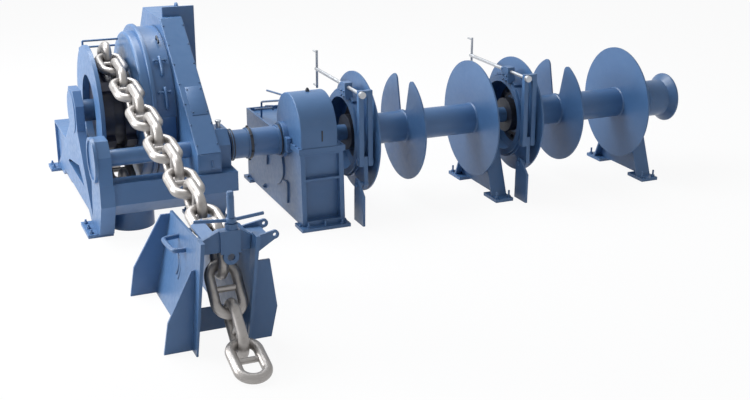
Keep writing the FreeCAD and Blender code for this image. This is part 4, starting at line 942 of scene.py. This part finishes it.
dress_sleeve()
dress_warping_head()
for count in (1, 2):
    dress_drum(count)
    dress_brake(count)
dress_pedestal("middle_pedestal")
dress_pedestal("end_pedestal")
dress_feet()
dress_gearbox()
dress_bearings()
dress_band_case()
dress_gear_case()
dress_stopper()


# Studio

def studio_floor():
    """Pale floor that keeps the shadows and shows nearly white."""
    deselect()
    bpy.ops.mesh.primitive_plane_add(size=240, location=(0, 0, -0.001))
    floor = bpy.context.object
    floor.name = "studio_floor"
    made = bpy.data.materials.new("studio_floor")
    made.use_nodes = True
    tree = made.node_tree
    tree.nodes.clear()
    out = tree.nodes.new("ShaderNodeOutputMaterial")
    matt = tree.nodes.new("ShaderNodeBsdfDiffuse")
    matt.inputs["Color"].default_value = (0.84, 0.84, 0.86, 1)
    glow = tree.nodes.new("ShaderNodeEmission")
    mix = tree.nodes.new("ShaderNodeMixShader")
    glow_share = 0.93
    wire(tree, maths(tree, "MULTIPLY", seen_directly(tree), glow_share), mix.inputs["Fac"])
    tree.links.new(matt.outputs["BSDF"], mix.inputs[1])
    tree.links.new(glow.outputs["Emission"], mix.inputs[2])
    tree.links.new(mix.outputs["Shader"], out.inputs["Surface"])
    floor.data.materials.append(made)


def studio_world():
    """Soft pale surroundings, white behind the object."""
    world = bpy.data.worlds.new("studio_world")
    bpy.context.scene.world = world
    world.use_nodes = True
    tree = world.node_tree
    tree.nodes.clear()
    out = tree.nodes.new("ShaderNodeOutputWorld")
    soft = tree.nodes.new("ShaderNodeBackground")
    soft.inputs["Color"].default_value = (0.92, 0.96, 1.0, 1)
    soft.inputs["Strength"].default_value = 0.33
    white = tree.nodes.new("ShaderNodeBackground")
    mix = tree.nodes.new("ShaderNodeMixShader")
    tree.links.new(seen_directly(tree), mix.inputs["Fac"])
    tree.links.new(soft.outputs["Background"], mix.inputs[1])
    tree.links.new(white.outputs["Background"], mix.inputs[2])
    tree.links.new(mix.outputs["Shader"], out.inputs["Surface"])


def soft_box(name, place, aim, size, power, colour=(1, 1, 1)):
    """Large soft lamp that points at a place."""
    lamp = bpy.data.lights.new(name, "AREA")
    lamp.shape = "RECTANGLE"
    lamp.size = size
    lamp.size_y = size * 0.7
    lamp.energy = power
    lamp.color = colour
    holder = bpy.data.objects.new(name, lamp)
    bpy.context.collection.objects.link(holder)
    holder.location = place
    holder.rotation_euler = (Vector(aim) - Vector(place)).to_track_quat("-Z", "Y").to_euler()


def studio_camera():
    """Camera of the photograph: its place, view direction, tilt and lens."""
    yaw = math.radians(23.98)
    pitch = math.radians(19.174)
    roll = math.radians(0.444)
    place = Vector((-7.557, -13.666, 5.183))
    lens = bpy.data.cameras.new("photo_camera")
    lens.sensor_width = 36
    lens.lens = FOCAL_LENGTH / PHOTO_WIDTH * lens.sensor_width
    lens.shift_x = CENTRE_SHIFT[0] / PHOTO_WIDTH
    lens.shift_y = CENTRE_SHIFT[1] / PHOTO_WIDTH
    lens.clip_end = 400
    camera = bpy.data.objects.new("photo_camera", lens)
    bpy.context.collection.objects.link(camera)
    turned = (Matrix.Rotation(-yaw, 4, "Z") @ Matrix.Rotation(math.pi / 2 - pitch, 4, "X")
              @ Matrix.Rotation(roll, 4, "Z"))
    camera.matrix_world = Matrix.Translation(place) @ turned
    bpy.context.scene.camera = camera


studio_floor()
studio_world()
soft_box("sky_light", (-6, 5, 11), aim=(-1, 0, 0.8), size=10, power=1750, colour=(0.96, 0.98, 1.0))
soft_box("left_light", (-14, 3, 5), aim=(-2, 0, 0.8), size=6, power=1150)
soft_box("front_light", (3, -12, 6), aim=(-1, 0, 0.9), size=6, power=25, colour=(1.0, 0.98, 0.96))
studio_camera()
bpy.context.scene.view_settings.view_transform = "Standard"
